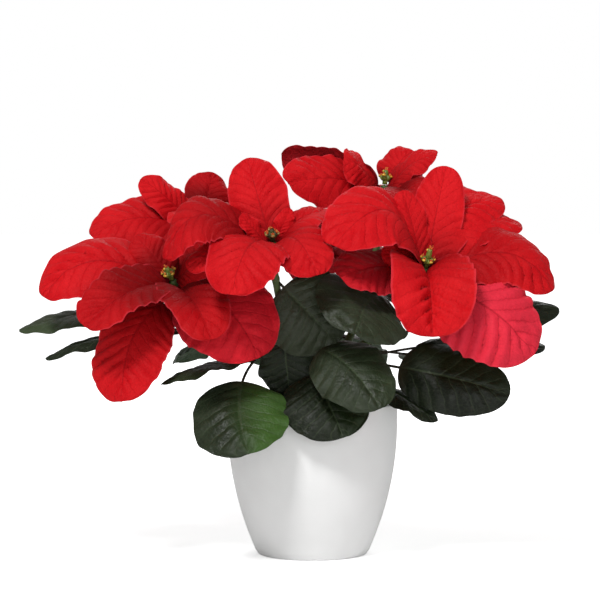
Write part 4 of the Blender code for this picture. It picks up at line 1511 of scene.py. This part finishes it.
# %% [markdown]
# ## The glaze of the pot
#
# Glazed white ware is clean and softly glossy. Very faint lines run round it, which come
# from noise that is squeezed flat, and its gloss is a little uneven.

# %% The glaze of the pot
POT_WHITE = ((0.80, 0.80, 0.795), (0.84, 0.84, 0.835))
POT_ROUGHNESS = (0.42, 0.5)
LINE_SQUEEZE = (0.03, 0.03, 1.0)


def pot_material():
    """White glazed ware: clean, softly glossy, with the faintest turning lines."""
    material, tree, shader = new_material("pot white", specular=0.5)
    place = object_place(tree)
    squeeze = tree.nodes.new("ShaderNodeMapping")
    squeeze.inputs["Scale"].default_value = LINE_SQUEEZE
    tree.links.new(place, squeeze.inputs["Vector"])
    cloud = span(tree, noise_of(tree, place, 18.0), 0.3, 0.7)
    lines = bump(tree, noise_of(tree, squeeze.outputs[0], 420.0), 0.25, 0.0003)
    normal = bump(tree, noise_of(tree, place, 260.0), 0.08, 0.0002, under=lines)
    rough = span(tree, cloud, 0.0, 1.0, *POT_ROUGHNESS)
    dress(tree, shader, blend(tree, cloud, *POT_WHITE), rough, normal)
    return material


GLAZE = pot_material()
print("nodes in the glaze:", len(GLAZE.node_tree.nodes))

# %% [markdown]
# ## The pot
#
# The profile runs from the middle of the base up the outer side, over the lip, down the
# inner side and back to the middle of the floor. The inner side keeps the wall's thickness
# from the outer one.

# %% The pot
POT_HEIGHT = 140.0
POT_FOOT_RADIUS = 51.0
POT_BULGE = 27.2
POT_BULGE_HEIGHT = 120.0
POT_WALL = 4.0
POT_FLOOR = 6.0
POT_FOOT_ROUNDING = 2.0
LIP_ROUNDING = 1.6
LIP_DEPTH = 2.2
POT_SIDES = 144


def pot_radius(height):
    """The pot's outer radius: a bellied side, then straight up to the rim."""
    left = max(1.0 - height / POT_BULGE_HEIGHT, 0.0)
    return POT_FOOT_RADIUS + POT_BULGE * (1.0 - left**2)


foot = POT_FOOT_RADIUS - POT_FOOT_ROUNDING
rim = pot_radius(POT_HEIGHT)
lip_height = POT_HEIGHT - LIP_ROUNDING
profile = [(0.0, 0.0), (foot * 0.5, 0.0)]
profile += arc((foot, POT_FOOT_ROUNDING), POT_FOOT_ROUNDING, -90, -12, 6)
profile += [(pot_radius(z), z) for z in np.linspace(4.0, POT_HEIGHT - LIP_DEPTH, 42)]
profile += arc((rim - LIP_ROUNDING, lip_height), LIP_ROUNDING, 8, 90, 7)
profile += arc((rim - POT_WALL + LIP_ROUNDING, lip_height), LIP_ROUNDING, 90, 172, 7)
profile += [(pot_radius(z) - POT_WALL, z) for z in np.linspace(POT_HEIGHT - LIP_DEPTH, 14.0, 24)]
profile += [(pot_radius(POT_FLOOR) - POT_WALL - 1.0, POT_FLOOR + 1.0)]
profile += [(foot * 0.5, POT_FLOOR), (0.0, POT_FLOOR)]
pot = object_from(turned(profile, POT_SIDES), "cover_pot")
ready(pot, ["pot"], "pot_white", GLAZE)
print("the pot is", round(2 * rim, 1), "mm wide at its rim and", POT_HEIGHT, "mm high")

# %% [markdown]
# ## The potting soil
#
# Peat is a heap of dark crumbs with white grains of perlite. The bed is a lumpy disc in the
# pot, turned like the pot with a hole for the main stem, and its top is then raised and
# lowered by sines and noise. Crumbs and grains lie on it.

# %% The bed of soil
SOIL_SLACK = 0.9
SOIL_LUMP = 1.1
SOIL_GRAIN = 0.9
SOIL_SIDES = 72
PEAT = ((0.018, 0.011, 0.007), (0.060, 0.038, 0.024))


def soil_height(x, y):
    """The height of the bed's lumpy top in millimetres."""
    radius = math.hypot(x, y)
    angle = math.atan2(y, x)
    lump = math.sin(5 * angle + radius / 9) + math.sin(3 * angle - radius / 13)
    fine = noise.noise(Vector((x, y, 0.0)) * 0.16) + 0.5 * noise.noise(Vector((x, y, 9.0)) * 0.5)
    return SOIL_TOP + SOIL_LUMP * lump * min(radius / 20.0, 1.0) + SOIL_GRAIN * fine


def soil_material():
    """Dark peat in two tones with a coarse grain."""
    material, tree, shader = new_material("potting soil", specular=0.2)
    place = object_place(tree)
    patch = span(tree, noise_of(tree, place, 90.0, 4.0), 0.3, 0.7)
    normal = bump(tree, noise_of(tree, place, 420.0, 6.0), 0.9, 0.002)
    dress(tree, shader, blend(tree, patch, *PEAT), 0.92, normal)
    return material


side_clear = POT_WALL + SOIL_SLACK
bottom = POT_FLOOR + GAP
edge = pot_radius(SOIL_TOP) - side_clear
hole = TRUNK_RADIUS + GAP
profile = [(0.0, bottom), (pot_radius(bottom) - side_clear - 2.0, bottom)]
profile += [(pot_radius(z) - side_clear, z) for z in np.linspace(bottom + 2.0, SOIL_TOP - 2.0, 14)]
profile += [(radius, SOIL_TOP) for radius in np.linspace(edge - 1.0, hole, 34)]
profile += [(hole, TRUNK_FOOT - GAP), (0.0, TRUNK_FOOT - GAP)]
bm = turned(profile, SOIL_SIDES)
for vert in bm.verts:
    if vert.co.z > SOIL_TOP - GAP and math.hypot(vert.co.x, vert.co.y) > hole + 1.0:
        vert.co.z = soil_height(vert.co.x, vert.co.y)
SOIL = soil_material()
ready(object_from(bm, "soil_bed"), ["soil"], "potting_soil", SOIL)
print("the bed of soil is", round(2 * edge, 1), "mm wide at its top")

# %% [markdown]
# ## Crumbs and perlite on the soil
#
# Each stone is a ball of twenty faces, stretched and turned by a seeded draw, and it keeps
# clear of the main stem and of the pot's wall.

# %% Crumbs and perlite on the soil
CRUMBS = 620
CRUMB_SIZES = (0.7, 1.9)
PERLITE = 90
PERLITE_SIZES = (0.6, 1.4)
PERLITE_WHITE = ((0.42, 0.39, 0.34), (0.78, 0.76, 0.72))
STONES_FROM = 9.5
STONES_REACH = 59.84
STONE_TURN = 6.28
STONE_LIFT = 0.3


def perlite_material():
    """Rough off-white grains."""
    material, tree, shader = new_material("perlite", specular=0.3)
    patch = noise_of(tree, object_place(tree), 600.0, 3.0)
    dress(tree, shader, blend(tree, patch, *PERLITE_WHITE), 0.85, bump(tree, patch, 0.5, 0.0006))
    return material


def scatter(name, count, sizes, seed, material):
    """Small stones on the soil, placed by a seeded draw."""
    draw = random.Random(seed)
    bm = bmesh.new()
    for _ in range(count):
        radius = STONES_FROM + STONES_REACH * math.sqrt(draw.random())
        angle = draw.uniform(0.0, 2 * math.pi)
        x, y = radius * math.cos(angle), radius * math.sin(angle)
        size = draw.uniform(*sizes)
        turn = Matrix.Rotation(draw.uniform(0, STONE_TURN), 4, "X")
        turn = turn @ Matrix.Rotation(draw.uniform(0, STONE_TURN), 4, "Z")
        place = Matrix.Translation((x, y, soil_height(x, y) + size * STONE_LIFT))
        stretch = (size, size * draw.uniform(0.6, 0.9), size * draw.uniform(0.5, 0.8), 1.0)
        matrix = place @ turn @ Matrix.Diagonal(stretch)
        bmesh.ops.create_icosphere(bm, subdivisions=1, radius=1.0, matrix=matrix)
    return ready(object_from(bm, name), ["soil"], "potting_soil", material)


crumbs = scatter("soil_crumbs", CRUMBS, CRUMB_SIZES, 3, SOIL)
grains = scatter("soil_perlite", PERLITE, PERLITE_SIZES, 4, perlite_material())
print("faces in the crumbs:", len(crumbs.data.polygons))
print("faces in the perlite:", len(grains.data.polygons))

# %% [markdown]
# ## The floor
#
# The plant stands in a bright white studio. The floor is a wide pale sheet with a glow of
# its own, which only the camera sees: weak under the pot, so that a faint shadow stays
# there, and stronger far out, where the floor has to fade into the white behind it.

# %% The floor
FLOOR_COLOUR = (0.90, 0.90, 0.90)
FLOOR_GLOW = (0.5, 0.97)
FLOOR_GLOW_REACH = (0.1, 1.6)
FLOOR_RADIUS = 14.0
FLOOR_SIDES = 96


def white_floor():
    """A wide round sheet under the pot, with a glow that lights nothing else."""
    bm = bmesh.new()
    bmesh.ops.create_circle(bm, cap_ends=True, segments=FLOOR_SIDES, radius=FLOOR_RADIUS)
    floor = in_scene("floor", mesh_from(bm, "floor"))
    material, tree, shader = new_material("pale floor", specular=0.05)
    feed(tree, FLOOR_COLOUR, shader.inputs["Base Color"])
    feed(tree, 0.9, shader.inputs["Roughness"])
    feed(tree, (1.0, 1.0, 1.0), shader.inputs["Emission Color"])
    distance = tree.nodes.new("ShaderNodeVectorMath")
    distance.operation = "LENGTH"
    tree.links.new(object_place(tree), distance.inputs[0])
    glow = span(tree, distance.outputs["Value"], *FLOOR_GLOW_REACH, *FLOOR_GLOW)
    path = tree.nodes.new("ShaderNodeLightPath")
    glow = times(tree, path.outputs["Is Camera Ray"], glow)
    tree.links.new(glow, shader.inputs["Emission Strength"])
    floor.data.materials.append(material)


white_floor()
print("the floor is", 2 * FLOOR_RADIUS, "m wide")

# %% [markdown]
# ## Light
#
# A soft square light hangs high in front, a little to the left, and gives the bracts their
# form. A wide one fills from low in front, and another from behind lifts the edges. The
# world is white where the camera looks past everything, and dimmer where it lights.

# %% Light
WORLD_SEEN = 1.0
WORLD_LIGHTING = 0.36


def soft_light(name, place, aim, size, power):
    """A square light at the place, turned towards its aim."""
    light = bpy.data.lights.new(name, "AREA")
    light.shape = "SQUARE"
    light.size = size
    light.energy = power
    lamp = in_scene(name, light)
    lamp.location = place
    lamp.rotation_euler = (Vector(aim) - Vector(place)).to_track_quat("-Z", "Y").to_euler()


def studio_world(seen, lighting):
    """White where the camera looks past everything, softer where it lights the plant."""
    world = bpy.data.worlds.new("studio")
    world.use_nodes = True
    tree = world.node_tree
    background = tree.nodes["Background"]
    feed(tree, (1.0, 1.0, 1.0), background.inputs["Color"])
    path = tree.nodes.new("ShaderNodeLightPath")
    strength = span(tree, path.outputs["Is Camera Ray"], 0.0, 1.0, lighting, seen)
    tree.links.new(strength, background.inputs["Strength"])
    bpy.context.scene.world = world


soft_light("key", (-0.6, -1.5, 2.0), (0.0, 0.0, 0.2), size=0.5, power=38.0)
soft_light("fill", (0.5, -2.6, 0.35), (0.0, 0.0, 0.1), size=1.6, power=20.0)
soft_light("back", (0.3, 2.0, 1.4), (0.0, 0.0, 0.2), size=1.6, power=20.0)
studio_world(WORLD_SEEN, WORLD_LIGHTING)
bpy.context.scene.view_settings.view_transform = "Standard"
print("lights:", [light.name for light in bpy.data.lights])

# %% [markdown]
# ## Camera
#
# The photo was taken from about the height of the heads and looks down a little. It was
# taken from far away with a long lens, so near and far heads keep nearly the same size.

# %% Camera
CAMERA_PLACE = (-0.0115, -2.2, 0.340)
CAMERA_DOWN = 2.76
LENS = 143.5
SENSOR_WIDTH = 36.0

lens = bpy.data.cameras.new("camera")
lens.lens = LENS
lens.sensor_width = SENSOR_WIDTH
camera = in_scene("camera", lens)
camera.location = CAMERA_PLACE
camera.rotation_euler = (math.radians(90.0 - CAMERA_DOWN), 0.0, 0.0)
bpy.context.scene.camera = camera
print("the camera sees an angle of", round(math.degrees(lens.angle), 1), "degrees")

# %% [markdown]
# ## Finish
#
# The dressed plant is meant to fit the box of the solids. The scene is brought up to date.

# %% Finish
bpy.context.view_layer.update()
